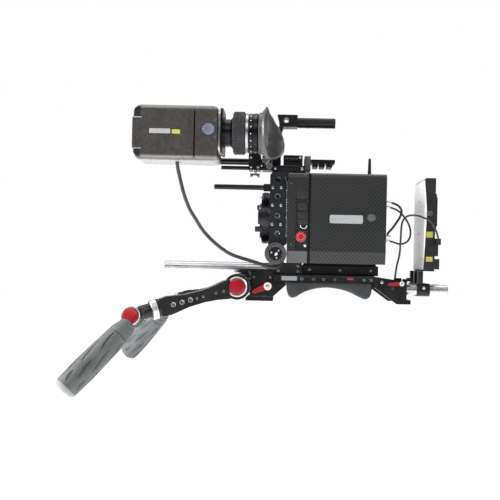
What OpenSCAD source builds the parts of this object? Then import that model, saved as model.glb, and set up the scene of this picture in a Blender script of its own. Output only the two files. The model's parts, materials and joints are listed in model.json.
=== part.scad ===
// Shoulder-mounted cinema camera rig with viewfinder, battery plate and two hand grips.
// +X points to the rear, -Y to the operator's side, +Z up.
// The origin is the centre of the tripod thread on the underside of the front foot.

/* [Base] */
// Length of the base rail
rail_l = 145; // [130:1:150]
// Width of the base rail
rail_w = 100; // [96:1:104]
// Height of the rail's underside over the foot
rail_z = 28.5; // [28:0.1:29]
// Half width of the front block
block_hw = 45; // [40:1:48]
// Radius of the tripod thread
tripod_r = 4.76; // [4.7:0.01:4.8]
// Radius of the support rods
rod_r = 7.5; // [7.4:0.05:7.5]
// Distance of each support rod from the middle
rod_y = 30; // [29:0.5:31]

/* [Camera] */
// Distance of the camera's side covers from the middle
cover_y = 62.5; // [61.5:0.5:64]
// Height of the camera's underside
cam_z = 56; // [56:0.5:57]
// Height of the camera's top
cam_top = 184; // [184:0.5:185]
// Height of the lens axis
lens_z = 122; // [120:1:124]
// Radius of the lens mount's bore
lens_r = 27; // [26.5:0.1:27]

/* [Viewfinder] */
// Height of the eyepiece axis
vf_z = 231; // [230:0.5:233]
// Distance of the eyepiece axis from the middle, towards the operator
vf_y = 96; // [95:0.5:98]
// Length of the viewfinder housing
vf_l = 111; // [105:1:112]

/* [Handles] */
// Radius of the arm's round head
head_r = 18; // [16:0.5:18]
// Radius of the round push buttons
push_r = 11; // [9:0.5:11]
// Largest radius of the grip
grip_r = 16.5; // [15:0.5:17]

/* [Hidden] */
$fn = 48;
cl = 0.05;        // radial running clearance
gap = 0.3;        // gap between faces that pass each other
rail_x = 20;
rail_t = 10.8;
pad_hw = 48;
rod_z_rear = 20.5;
rod_z_front = 48;
wing_y = [40, 50];
cover_t = 5.3;
cage_y = [50, 57];
rosette_c = [22.8, 68.8];  // X and Z of the rosette discs
key_travel = 1;
shank = 0.3;      // how much thinner a support rod is where it is held
skin_y = cover_y - cover_t;
vf_x = -170;
vf_y0 = vf_y + 29;       // operator's side face of the viewfinder, measured towards the operator
vf_rod_y = 40;
tilt = [-11, 0, vf_z];   // viewfinder tilt axis, along Y
head_c = [-29, -77, 21.6];
arm_end = [-134, -118, -9];
knuckle = [-162, -134, -20];
grip_root = [-169, -144, -33];
grip_tip = [-236, -190, -109];
push_turn = [73, 6];     // tilt and turn of the knuckle's button axis

// The cables' routes, from their first end to their last.
viewfinder_route = [[-113, -98, 190], [-112, -95, 180], [-109, -91, 166], [-106, -88, 153],
  [-102, -84, 140], [-96, -81, 126], [-88, -77, 113], [-79, -74, 99], [-67, -70, 86],
  [-54, -67, 75], [-41, -64, 67], [-27, -60, 62], [-13, -57, 58], [0, -54, 54], [12, -51, 50],
  [22, -48, 49], [30, -45, 53], [33, -44, 59]];
video_route = [[180, -30, 147], [190, -30, 146], [198, -30, 143], [203, -30, 138],
  [204, -30, 132], [201, -30, 124], [196, -30, 116], [191, -30, 109], [185, -30, 102], [180, -30, 96]];
audio_route = [[180, -20, 142], [190, -20, 140], [198, -20, 137], [205, -20, 132],
  [211, -20, 125], [216, -20, 117], [219, -20, 108], [219, -20, 99], [216, -20, 92],
  [210, -20, 88], [203, -20, 87], [196, -20, 89], [189, -20, 91], [180, -20, 92]];
power_route = [[255, -46, 95.2], [252, -46, 105], [248, -46, 112], [242, -46, 120],
  [235, -46, 124], [227, -45, 127], [219, -43, 128], [212, -41, 127], [207, -39, 123],
  [204, -38, 117], [203, -37, 107], [203, -35, 96], [203, -32, 86], [203, -29, 76],
  [202, -26, 66], [200, -23, 56], [199, -21, 47], [198, -20, 37.2]];

// ---- shapes that several pieces share ----

// A flat outline in X and Z, from y0 to y1
module along_y(y0, y1) translate([0, y1, 0]) rotate([90, 0, 0]) linear_extrude(y1 - y0) children();

// A flat outline in Y and Z, from x0 to x1
module along_x(x0, x1) translate([x0, 0, 0]) rotate([90, 0, 90]) linear_extrude(x1 - x0) children();

// A box from corner a to corner b
module block(a, b) translate(a) cube(b - a);

// A flat rectangle from a to b with round corners
module rounded(a, b, r) {
  translate([a[0] + r, a[1]]) square([b[0] - a[0] - 2 * r, b[1] - a[1]]);
  translate([a[0], a[1] + r]) square([b[0] - a[0], b[1] - a[1] - 2 * r]);
  for (x = [a[0] + r, b[0] - r], z = [a[1] + r, b[1] - r]) translate([x, z]) circle(r);
}

// A cylinder along X, Y or from point p towards point q
module rod_x(x0, x1, y, z, r) translate([x0, y, z]) rotate([0, 90, 0]) cylinder(r = r, h = x1 - x0);
module rod_y(x, y0, y1, z, r) translate([x, y0, z]) rotate([-90, 0, 0]) cylinder(r = r, h = y1 - y0);
module aim(p, q) {
  d = q - p;
  translate(p) rotate([0, acos(d[2] / norm(d)), atan2(d[1], d[0])]) children();
}

// A cable of diameter d along the points of route
function heading(route, i) = let (n = len(route) - 1,
  d = route[min(i + 1, n)] - route[max(i - 1, 0)]) d / norm(d);
function across(t) = let (s = cross(t, [0, 1, 0.2])) s / norm(s);
module cable(route, d, sides = 8) {
  n = len(route);
  rings = [for (i = [0 : n - 1]) let (t = heading(route, i), u = across(t), v = cross(t, u))
    for (k = [0 : sides - 1]) route[i] + d / 2 * (u * cos(360 * k / sides) + v * sin(360 * k / sides))];
  walls = [for (i = [0 : n - 2], k = [0 : sides - 1]) let (m = (k + 1) % sides)
    [i * sides + k, (i + 1) * sides + k, (i + 1) * sides + m, i * sides + m]];
  polyhedron(rings, concat([[for (k = [0 : sides - 1]) k]], walls,
    [[for (k = [sides - 1 : -1 : 0]) (n - 1) * sides + k]]), convexity = 6);
}

// ---- base ----

module front_foot() color("dimgray") difference() {
  along_y(-32, 32) polygon([[-20, 0], [20, 0], [20, 7], [-17, 7], [-20, 4]]);
  translate([0, 0, -1]) cylinder(r = tripod_r, h = 9);
}

module front_block() color([0.13, 0.13, 0.14])
  along_y(-block_hw, block_hw)
    polygon([[-13, 7], [20, 7], [38.5, 24], [38.5, rail_z], [rail_x, rail_z], [rail_x, 39], [-13, 39]]);

module rod_saddle() color([0.1, 0.1, 0.11]) difference() {
  along_y(-block_hw, block_hw) polygon([[-17, 39], [rail_x, 39], [rail_x, 44.3], [-20, 44.3], [-20, 42]]);
  for (y = [-rod_y, rod_y]) rod_x(-29, 40, y, rod_z_front, rod_r - shank + gap);
}

module base_rail() color([0.12, 0.12, 0.13]) difference() {
  along_x(rail_x, rail_x + rail_l) polygon([[-rail_w / 2, rail_z], [rail_w / 2, rail_z],
    [rail_w / 2, rail_z + rail_t], [30.1, rail_z + rail_t], [33.1, rail_z + rail_t - 5],
    [-33.1, rail_z + rail_t - 5], [-30.1, rail_z + rail_t], [-rail_w / 2, rail_z + rail_t]]);
  rail_screws(2.4, rail_w / 2 + 1);
}

module rail_screws(r, reach)
  for (x = [61, 78, 92, 108, 150, 160], s = [-1, 1])
    translate([x, s * (rail_w / 2 - 6), 33.5]) rotate([-90 * s, 0, 0]) cylinder(r = r, h = reach - rail_w / 2 + 6);

module base_screws() color("silver") rail_screws(2.4, rail_w / 2 + 0.4);

module shoulder_pad() color([0.38, 0.38, 0.39])
  along_y(-pad_hw, pad_hw)
    polygon([[40, rail_z], [39, 20], [43, 8], [48, 6], [54, 8], [66, 15], [82, 20], [98, 21.5],
      [118, 19], [136, 13], [148, 7], [154, 6], [159, 9], [162, 20], [162, rail_z]]);

module rear_wings() color([0.13, 0.13, 0.14]) {
  for (s = [-1, 1]) difference() {
    along_y(s > 0 ? wing_y[0] : -wing_y[1], s > 0 ? wing_y[1] : -wing_y[0])
      polygon([[rail_x + rail_l, 38.6], [210.6, 32.4], [210.6, 0], [197, 0], [rail_x + rail_l, 23]]);
    block([187, -60, 20], [193, 60, 27]);
    if (s < 0) rod_y(203, -60, -30, 29.5, 1.6);
  }
  block([210.6, -48, 0], [217, 48, 6]);
}

module rear_block() color([0.16, 0.16, 0.17]) difference() {
  union() {
    block([195, -wing_y[0], 10], [210.6, wing_y[0], 31]);
    block([197, -24, 31], [207, -14, 37]);
    block([213, -42, 33], [219, -30, 38]);
    block([207, -40, 31], [213.01, -30, 36]);
  }
  for (y = [-rod_y, rod_y]) rod_x(194, 212, y, rod_z_rear, rod_r - shank);
  translate([198, -20, 36]) cylinder(r = 1.5, h = 5);
}

module rear_rods() color([0.85, 0.85, 0.87])
  for (y = [-rod_y, rod_y]) {
    rod_x(195, 246.5, y, rod_z_rear, rod_r - shank - cl);
    rod_x(246.5, 272.5, y, rod_z_rear, rod_r);
  }

module rod_clamp() color([0.1, 0.1, 0.11]) difference() {
  union() {
    along_x(227.5, 246) rounded([-40, 11.5], [40, 30], 8);
    for (y = [-32, 0, 32]) block([229, y - 5, 29], [236, y + 5, 48]);
  }
  for (y = [-rod_y, rod_y]) rod_x(226, 248, y, rod_z_rear, rod_r - shank);
}

module power_plate() {
  color("white") block([235, -42, 50], [237, 42, 180]);
  color([0.1, 0.1, 0.1]) difference() {
    block([237, -42, 48], [251, 42, 182]);
    block([240, -39, 52], [248, 39, 178]);
    rod_y(243, -45, -38, 131, 4.05);
  }
}

module battery_mount() color([0.15, 0.15, 0.15]) {
  difference() {
    block([251, -35, 110], [254, 35, 160]);
    block([250, -12, 118], [252.5, 12, 140]);
  }
  for (s = [-1, 1]) along_x(254, 257) polygon([[s * 12, 114], [s * 18, 156], [s * 26, 156], [s * 26, 114]]);
  block([251, -42, 70], [256, 42, 95]);
  block([251, -42, 51], [258, 42, 66]);
  difference() {
    block([251, -50, 86], [258, -42, 95]);
    translate([255, -46, 94]) cylinder(r = 1.5, h = 2);
  }
}

module battery_release() color([0.2, 0.2, 0.21]) {
  rod_y(243, -43.5, -40, 131, 4);
}

module power_cable() color([0.25, 0.25, 0.26]) cable(power_route, 2.8);

module handle_bracket() color([0.14, 0.14, 0.15]) {
  block([-37, -62, 13], [-13, 62, 31]);
  for (s = [-1, 1]) {
    rod_y(head_c[0], s > 0 ? 62 : -68.4, s > 0 ? 68.4 : -62, head_c[2], 15);
    rod_y(head_c[0], s > 0 ? 68.4 : -82, s > 0 ? 82 : -68.4, head_c[2], 5);
  }
}

module front_lever() color([0.8, 0.1, 0.15]) difference() {
  union() {
    rod_y(12.4, -50, -45.3, 22, 6.3);
    along_y(-50, -46.5) polygon([[10, 26.5], [-8.6, 16.5], [-10, 12.5], [-7, 11], [13, 17]]);
  }
  rod_y(12.4, -48, -40, 22, 2.6);
}

module rear_lever() color([0.8, 0.1, 0.12]) {
  rod_y(203, -54.5, -50.3, 29.5, 3.8);
  along_y(-54.5, -50.8) polygon([[203, 32.5], [184, 30.5], [182.5, 28.5], [184, 26.5], [203, 26]]);
  rod_y(203, -50.4, -45, 29.5, 1.55);
}

// ---- camera ----

module sliding_plate() color([0.1, 0.1, 0.11]) {
  block([61, -38, 39.4], [171, 38, 53.4]);
  block([64, -34, 53.4], [168, 34, cam_z]);
  along_x(64, 160) polygon([[-30, 39.4], [-33, 34.4], [33, 34.4], [30, 39.4]]);
}

module mini_plate() color([0.16, 0.17, 0.18]) difference() {
  block([21.5, -42, 40], [60.8, 42, cam_z]);
  for (y = [-rod_y, rod_y]) rod_x(20, 62, y, rod_z_front, rod_r - shank);
}

module front_rods() color([0.9, 0.9, 0.92])
  for (y = [-rod_y, rod_y]) {
    rod_x(-138, -30, y, rod_z_front, rod_r);
    rod_x(-30, 50, y, rod_z_front, rod_r - shank - cl);
  }

module chassis() color([0.2, 0.2, 0.21]) difference() {
  union() {
    block([39, -skin_y, cam_z], [176, skin_y, cam_top - 3]);
    block([42, -54, cam_top - 3], [174, 54, cam_top]);
    for (y = [-skin_y - 3.5, skin_y]) block([67.6, y, 60], [70.7, y + 3.5, cam_top - 4]);
  }
  block([42, -skin_y + 3, cam_z + 3], [177, skin_y - 3, cam_top - 6]);
  rod_x(38, 43, 0, lens_z, 30);
}

// One side cover's outline in Y and Z, upper edge rounded and lower edge chamfered
module cover_outline() polygon([[-skin_y, cam_z], [-skin_y - 1.3, cam_z], [-cover_y, cam_z + 17],
  [-cover_y, cam_top - 7], [-cover_y + 1.2, cam_top - 3], [-cover_y + 4, cam_top - 0.5],
  [-skin_y, cam_top]]);

module left_cover() color([0.25, 0.26, 0.27]) along_x(71, 178) cover_outline();

module front_panel() color([0.28, 0.28, 0.3]) difference() {
  along_x(38.5, 67.3) cover_outline();
  block([50, -70, 75], [66.5, -50, 159]);
}

module right_cover() color([0.25, 0.26, 0.27]) mirror([0, 1, 0]) {
  along_x(71, 178) cover_outline();
  along_x(38.5, 67.3) cover_outline();
}

module rear_panel() color([0.15, 0.15, 0.16]) {
  difference() {
    along_x(176, 178) rounded([-skin_y, cam_z + 2], [skin_y, cam_top - 3], 4);
    for (y = [-45 : 10 : 45]) block([175, y - 2, 155], [179, y + 2, 172]);
  }
  for (p = [[-30, 146.5], [-20, 141], [-30, 97], [-20, 91.5]]) rod_x(178, 181.5, p[0], p[1], 3.2);
}

module button_strip() color([0.06, 0.06, 0.06]) difference() {
  along_y(-cover_y + 0.8, -skin_y) rounded([50, 75], [66.5, 159], 2);
  along_y(-cover_y, -skin_y - 1) {
    rounded([51.8, 147.8], [65.2, 157.2], 1.2);
    for (z = [132, 120, 112]) rounded([53.8, z - 0.2], [64.7, z + (z > 112 ? 7.2 : 4.2)], 1.2);
  }
  rod_y(58, -cover_y - 1, -skin_y - 1, 93, 6.55);
}

module key(a, b) along_y(-cover_y - 0.2, -skin_y - 1 - key_travel - 0.1) rounded(a, b, 1);

module menu_key() color([0.3, 0.3, 0.31]) key([52, 148], [65, 157]);

module soft_keys() color([0.3, 0.3, 0.31]) for (z = [132, 120, 112]) key([54, z], [64.5, z + (z > 112 ? 7 : 4)]);

module rec_button() color([0.85, 0.1, 0.2]) rod_y(58, -cover_y - 1, -skin_y - 1 - key_travel - 0.1, 93, 6.5);

module lens_mount() color([0.5, 0.5, 0.52]) difference() {
  union() {
    rod_x(12, 39, 0, lens_z, 35);
    rod_x(-2, 12, 0, lens_z, 30);
    rod_x(-2, 0.6, 0, lens_z, 32);
  }
  rod_x(-3, 40, 0, lens_z, lens_r);
}

module mount_ring() color([0.25, 0.25, 0.26]) {
  difference() {
    union() {
      rod_x(1, 11.7, 0, lens_z, 37.5);
      for (s = [-1, 1]) {
        intersection() {
          rod_x(-4, 1, 0, lens_z, 37.5);
          block([-4, s > 0 ? 32.6 : -40, lens_z - 11], [1.5, s > 0 ? 40 : -32.6, lens_z + 11]);
        }
        rod_x(-8, 2, s * 34, lens_z + s * 18, 4);
      }
    }
    rod_x(-9, 12, 0, lens_z, 30 + cl);
    rod_x(-9, 0.9, 0, lens_z, 32.6);
  }
}

module sensor_block() color([0.2, 0.35, 0.3]) {
  difference() {
    block([42, -36, lens_z - 34], [56, 36, lens_z + 34]);
    block([41, -16, lens_z - 11], [47, 16, lens_z + 11]);
  }
}

module electronics() {
  color("darkgreen") block([75, -45, cam_z + 3], [168, 45, cam_z + 9]);
  color([0.2, 0.2, 0.2]) difference() {
    block([150, -40, 120], [168, 40, 178]);
    rod_x(149, 169, 0, 149, 25);
  }
}

// The hole pattern of one cage plate: large centre threads and pairs of small ones
module cage_holes() {
  translate([24, 174]) circle(4);
  for (z = [150, 122, 98]) translate([24, z]) circle(3.175);
  for (z = [162, 137, 110], x = [17, 29]) translate([x, z]) circle(1.6);
}

module cage_plates() color([0.13, 0.14, 0.15]) for (s = [-1, 1])
  along_y(s > 0 ? cage_y[0] : -cage_y[1], s > 0 ? cage_y[1] : -cage_y[0]) difference() {
    union() {
      polygon([[13, 87], [17, 82], [34, 82], [38.4, 86], [38.4, 181], [34, cam_top + 1], [17, cam_top + 1], [13, 180]]);
      translate(rosette_c) circle(14);
      translate([12, 68]) square([20, 20]);
    }
    cage_holes();
    translate([33, 171]) square([2.6, 8]);
    translate(rosette_c) circle(3.4);
  }

module rosette_discs() color([0.3, 0.3, 0.31]) for (s = [-1, 1])
  difference() {
    union() {
      rod_y(rosette_c[0], s > 0 ? cage_y[1] : -cage_y[1] - 6.5, s > 0 ? cage_y[1] + 6.5 : -cage_y[1],
        rosette_c[1], 15.5);
      for (a = [0 : 15 : 345]) translate([rosette_c[0], s * (cage_y[1] + 6.9), rosette_c[1]]) rotate([0, a, 0])
        block([10.5, -0.5, -0.6], [15, 0.5, 0.6]);
    }
    rod_y(rosette_c[0], -70, 70, rosette_c[1], 3);
  }

module top_plates() color([0.14, 0.14, 0.15]) {
  block([15, -56, cam_top + 1], [62, 56, 194]);
  block([31, -26, 194], [59, 26, 203.5]);
  block([40, -20, 203.5], [52, 20, 204.2]);
  block([31, -26, 204.2], [59, 26, 213]);
}

module top_handle() color([0.1, 0.1, 0.1]) {
  difference() {
    along_y(-11, 11) polygon([[14, 194], [27, 194], [27, 248], [30, 257], [50.7, 257], [50.7, 275],
      [20.7, 275], [23, 268], [24, 258], [16, 246], [14, 230]]);
    rod_y(34, -12, 12, 267, 4);
  }
  difference() {
    rod_x(50.7, 107, 0, 265, 7.5);
    rod_x(54, 108, 0, 265, 6);
  }
}

module accessory_rail() color([0.3, 0.3, 0.3]) {
  block([62, -20, 192], [71, 20, 213]);
  block([71, -15, 204], [107, 15, 209]);
  for (x = [74, 84, 95]) block([x, -15, 198], [x + 8, 15, 204]);
}

module antenna() color([0.1, 0.1, 0.1]) translate([163, 30, cam_top]) {
  cylinder(r = 4.5, h = 4);
  translate([0, 0, 4]) cylinder(r1 = 3, r2 = 2, h = 30);
}

module video_cable() color([0.3, 0.3, 0.3]) cable([for (p = video_route) [max(p[0], 183.3), p[1], p[2]]], 3.4);

module audio_cable() color([0.3, 0.3, 0.3]) cable([for (p = audio_route) [max(p[0], 182.9), p[1], p[2]]], 2.8);

// ---- viewfinder and its bracket ----

module vf_rail() color([0.2, 0.2, 0.21]) {
  block([1, -54, 195], [13.9, -11, 207]);
  block([1, -54, 187], [13.9, -28, 195]);
  block([13, -54, 187], [15, -28, 194]);
  rod_x(-64, 1, -vf_rod_y, 200, 4.5);
  rod_x(-58, 1, -vf_rod_y, 191, 2.7);
  // thin rod and its clamp on the cage plate
  rod_x(-66, 4, -54, 162, 3.5);
  block([4, -58, 157], [13, -50, 167]);
}

module vf_clamp() color([0.12, 0.12, 0.13]) difference() {
  union() {
    block([-18, -58, 186.5], [-1, -32, 208]);
    block([-18, -58, 208], [-3, -50, vf_z]);
    rod_y(tilt[0], -58, -50, vf_z, 8);
  }
  rod_x(-20, 0, -vf_rod_y, 200, 4.5 + cl);
  rod_x(-20, 0, -vf_rod_y, 191, 2.7 + cl);
  rod_y(tilt[0], -60, -48, vf_z, 4 + cl);
  translate([-9, -50, 186]) cylinder(r = 2.5, h = 8);
}

module vf_knob() color("silver") {
  translate([-9, -50, 182]) cylinder(r = 2.45, h = 11.8);
  along_y(-53, -47) polygon([[-16, 182], [-2, 182], [-3, 176], [-7, 179], [-11, 179], [-15, 176]]);
}

module vf_housing() color([0.4, 0.4, 0.4]) difference() {
  union() {
    along_y(-vf_y0 + 7, -vf_y + 29) rounded([vf_x + 3, 190], [vf_x + vf_l + 3, vf_z + 32], 7);
    // fixed part of the operator's side cover, behind the screen's hinge
    along_y(-vf_y0, -vf_y0 + 7) rounded([-86, 193], [-57, vf_z + 29], 2);
  }
  translate([-90, -vf_y0 + 3.5, 206]) cylinder(r = 4.2, h = 40);
  translate([-113, -98, 188]) cylinder(r = 2.55, h = 4);
}

module vf_screen() color([0.42, 0.42, 0.41]) {
  along_y(-vf_y0, -vf_y0 + 6.7) {
    rounded([vf_x + 2, 193], [-94.3, vf_z + 29], 7);
    translate([vf_x, 204]) square([10, 41]);
  }
  block([-96, -vf_y0 + 1.5, 208], [-90, -vf_y0 + 5.5, 244]);
  translate([-90, -vf_y0 + 3.5, 208]) cylinder(r = 3.4, h = 36);
}

module eyepiece() color([0.15, 0.15, 0.16]) difference() {
  union() {
    along_x(-56, -50) rounded([-vf_y - 27, vf_z - 30], [-vf_y + 27, vf_z + 30], 6);
    rod_x(-50, -3, -vf_y, vf_z, 21);
    rod_x(-20, -3, -vf_y, vf_z, 27);
    // tilt boss towards the camera
    rod_y(tilt[0], -vf_y + 20, -58.3, vf_z, 8);
    rod_y(tilt[0], -58.3, -50, vf_z, 4);
  }
  rod_x(-30, 0, -vf_y, vf_z, 17);
}

module focus_ring() color([0.3, 0.3, 0.3]) difference() {
  rod_x(-37, -21, -vf_y, vf_z, 29);
  rod_x(-38, -20, -vf_y, vf_z, 21 + cl);
}

// A flared rubber cup, cut by a slanted plane from its upper point down to its rear lip
module eyecup() color([0.12, 0.12, 0.12]) difference() {
  translate([-2.7, -vf_y, vf_z]) rotate([0, 90, 0]) rotate_extrude()
    polygon([[17, 0], [28, 0], [28, 6.7], [35.6, 10.5], [34, 22], [31.5, 33], [30, 35.7],
      [27, 35.7], [24, 20], [17, 9]]);
  translate([8.5, 0, vf_z + 36]) rotate([0, -29.5, 0]) block([0, -vf_y - 60, -90], [60, -vf_y + 60, 60]);
}

module viewfinder_cable() color([0.3, 0.3, 0.31]) {
  cable(viewfinder_route, 5);
}

// ---- handles, drawn for the operator's left and mirrored for the right ----

module arm() color([0.1, 0.1, 0.1]) difference() {
  union() {
    rod_y(head_c[0], -86, -68.7, head_c[2], head_r);
    aim(head_c, arm_end) along_y(-6, 6)
      polygon([[-13, 4], [-13, 18], [-10, 34], [-8.5, 52], [-9, 74], [-13, 100], [-12, 112],
        [12, 112], [13, 100], [9, 74], [8.5, 52], [10, 34], [13, 18], [13, 4]]);
  }
  rod_y(head_c[0], -90, -60, head_c[2], 5 + cl);
  rod_y(head_c[0], -90, -83.5, head_c[2], push_r + cl);
  aim(head_c, arm_end) {
    for (z = [70, 82, 94]) translate([0, 0, z]) rotate([90, 0, 0]) cylinder(r = 2.6, h = 30, center = true);
    translate([0, 0, 100]) cylinder(r = 6 + cl - 1, h = 20);
  }
}

module arm_button() color([0.75, 0.05, 0.15]) rod_y(head_c[0], -90, -85.2, head_c[2], push_r);

// The knuckle turns on the arm's end, about the line from the arm's head to its end.
module push_axis() translate(knuckle) rotate([push_turn[0], 0, -push_turn[1]]) children();

module swivel() color([0.12, 0.12, 0.13]) {
  aim(head_c, arm_end) {
    translate([0, 0, 100.5]) cylinder(r = 5, h = 12);
    translate([0, 0, 112.3]) cylinder(r = 13, h = 12);
  }
  intersection() {
    aim(head_c, arm_end) translate([0, 0, 120]) cylinder(r = 10, h = 20);
    push_axis() translate([-60, -60, -60]) cube([120, 120, 60]);
  }
  difference() {
    push_axis() translate([0, 0, -13]) cylinder(r = 14, h = 13);
    push_axis() translate([0, 0, -14]) cylinder(r = 4 + cl, h = 20);
  }
}

module grip() color([0.35, 0.36, 0.36]) {
  difference() {
    union() {
      push_axis() translate([0, 0, 0.4]) cylinder(r = 13.4, h = 9);
      intersection() {
        aim(knuckle, grip_root + [-2, -1.5, -3]) cylinder(r = 11, h = 26);
        push_axis() translate([-60, -60, 0.4]) cube([120, 120, 30]);
      }
    }
    push_axis() translate([0, 0, 5]) cylinder(r = push_r + cl, h = 10);
  }
  push_axis() translate([0, 0, -12]) cylinder(r = 4, h = 13);
  aim(grip_root, grip_tip) rotate_extrude() polygon([[0, 4], [13.5, 4], [14.5, 7], [14.8, 12],
    [grip_r - 0.7, 40], [grip_r, 75], [grip_r - 0.6, 98], [grip_r - 1.2, 106], [grip_r - 6, 110], [0, 111]]);
}

module grip_button() color([0.75, 0.05, 0.15]) push_axis() translate([0, 0, 7]) cylinder(r = push_r, h = 6);

module left_arm() arm();
module left_arm_button() arm_button();
module left_swivel() swivel();
module left_grip() grip();
module left_grip_button() grip_button();
module right_arm() mirror([0, 1, 0]) arm();
module right_arm_button() mirror([0, 1, 0]) arm_button();
module right_swivel() mirror([0, 1, 0]) swivel();
module right_grip() mirror([0, 1, 0]) grip();
module right_grip_button() mirror([0, 1, 0]) grip_button();

front_foot();
front_block();
rod_saddle();
base_rail();
base_screws();
shoulder_pad();
rear_wings();
rear_block();
rear_rods();
rod_clamp();
power_plate();
battery_mount();
battery_release();
power_cable();
handle_bracket();
front_lever();
rear_lever();
sliding_plate();
mini_plate();
front_rods();
chassis();
left_cover();
front_panel();
right_cover();
rear_panel();
button_strip();
menu_key();
soft_keys();
rec_button();
lens_mount();
mount_ring();
sensor_block();
electronics();
cage_plates();
top_plates();
rosette_discs();
top_handle();
accessory_rail();
antenna();
video_cable();
audio_cable();
vf_rail();
vf_clamp();
vf_knob();
vf_housing();
vf_screen();
eyepiece();
focus_ring();
eyecup();
viewfinder_cable();
left_arm();
left_arm_button();
left_swivel();
left_grip();
left_grip_button();
right_arm();
right_arm_button();
right_swivel();
right_grip();
right_grip_button();
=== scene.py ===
"""The looks of a shoulder-mounted cinema camera rig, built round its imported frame."""

import json
import math
from functools import partial

import bmesh
import bpy
from mathutils import Matrix, Vector

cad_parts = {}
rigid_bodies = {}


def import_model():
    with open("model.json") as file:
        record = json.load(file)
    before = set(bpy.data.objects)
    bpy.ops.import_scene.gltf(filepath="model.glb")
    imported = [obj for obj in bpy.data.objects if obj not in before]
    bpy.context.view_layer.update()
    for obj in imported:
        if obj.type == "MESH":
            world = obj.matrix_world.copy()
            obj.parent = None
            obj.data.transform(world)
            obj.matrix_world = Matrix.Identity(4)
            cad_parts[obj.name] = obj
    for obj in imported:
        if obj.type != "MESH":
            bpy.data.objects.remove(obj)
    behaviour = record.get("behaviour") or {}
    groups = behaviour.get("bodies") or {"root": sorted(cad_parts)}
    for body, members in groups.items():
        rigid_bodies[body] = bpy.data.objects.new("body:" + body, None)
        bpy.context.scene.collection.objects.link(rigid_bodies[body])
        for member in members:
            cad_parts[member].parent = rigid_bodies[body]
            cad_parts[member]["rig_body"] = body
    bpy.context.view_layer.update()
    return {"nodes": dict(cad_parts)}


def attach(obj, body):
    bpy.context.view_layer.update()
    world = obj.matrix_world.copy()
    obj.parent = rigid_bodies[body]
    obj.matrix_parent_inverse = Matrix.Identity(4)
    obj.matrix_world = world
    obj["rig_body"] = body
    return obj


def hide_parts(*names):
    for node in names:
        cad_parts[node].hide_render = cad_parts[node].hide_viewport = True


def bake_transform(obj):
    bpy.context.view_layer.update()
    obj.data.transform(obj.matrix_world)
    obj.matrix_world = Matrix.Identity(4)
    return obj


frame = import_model()
scene = bpy.context.scene

# ---- Camera, lamps and floor ----
# The rig hangs on its tripod thread in a white studio. The camera stands level at the operator's side, a little
# over a metre away, and the frame is set off to one side of its optical axis.

STAND = (0.0364, -1.100, 0.0571)
ROLL = 0.021
LENS_MM = 53.06
SHIFT = (-0.0700, 0.0240)
FLOOR_Z = -0.60
WHITE = (0.93, 0.93, 0.93, 1)


def soft_lamp(name, place, target, size, watts):
    """A rectangular lamp that shines on target."""
    data = bpy.data.lights.new(name, "AREA")
    data.shape = "RECTANGLE"
    data.size, data.size_y = size
    data.energy = watts
    lamp = bpy.data.objects.new(name, data)
    scene.collection.objects.link(lamp)
    lamp.location = place
    lamp.rotation_euler = (Vector(target) - lamp.location).to_track_quat("-Z", "Y").to_euler()


camera_data = bpy.data.cameras.new("camera")
camera_data.lens = LENS_MM
camera_data.sensor_width = 36
camera_data.shift_x, camera_data.shift_y = SHIFT
camera_data.clip_start, camera_data.clip_end = 0.05, 50
camera = bpy.data.objects.new("camera", camera_data)
scene.collection.objects.link(camera)
camera.matrix_world = (
    Matrix.Translation(STAND) @ Matrix.Rotation(math.pi / 2, 4, "X") @ Matrix.Rotation(ROLL, 4, "Z")
)
scene.camera = camera

# The air of the studio: white where it is seen, and as light dimmer from the operator's side than from above.
world = bpy.data.worlds.new("studio")
world.use_nodes = True
air = world.node_tree
direction = air.nodes.new("ShaderNodeSeparateXYZ")
air.links.new(air.nodes.new("ShaderNodeTexCoord").outputs["Generated"], direction.inputs[0])
slope = air.nodes.new("ShaderNodeMath")
slope.operation = "ADD"
air.links.new(direction.outputs["Y"], slope.inputs[0])
air.links.new(direction.outputs["Z"], slope.inputs[1])
fall = air.nodes.new("ShaderNodeMapRange")
for key, number in (("From Min", -0.9), ("From Max", 0.9), ("To Min", 0.09), ("To Max", 0.55)):
    fall.inputs[key].default_value = number
air.links.new(slope.outputs[0], fall.inputs["Value"])
seen = air.nodes.new("ShaderNodeMix")
air.links.new(air.nodes.new("ShaderNodeLightPath").outputs["Is Camera Ray"], seen.inputs["Factor"])
air.links.new(fall.outputs["Result"], seen.inputs["A"])
seen.inputs["B"].default_value = 1.0
air.links.new(seen.outputs["Result"], air.nodes["Background"].inputs["Strength"])
air.nodes["Background"].inputs["Color"].default_value = (1, 1, 1, 1)
scene.world = world
scene.view_settings.view_transform = "Standard"

soft_lamp("key", (-0.5, -1.6, 1.5), (0, 0, 0.05), (1.6, 0.9), 13)
soft_lamp("rear_strip", (1.5, -0.7, 0.9), (0.1, 0, 0.1), (0.5, 1.2), 14)
soft_lamp("front_strip", (-1.6, -0.3, 0.7), (-0.1, 0, 0.1), (0.5, 1.2), 60)
soft_lamp("top", (0.0, 0.3, 2.0), (0, 0, 0.1), (2.0, 1.2), 20)

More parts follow.
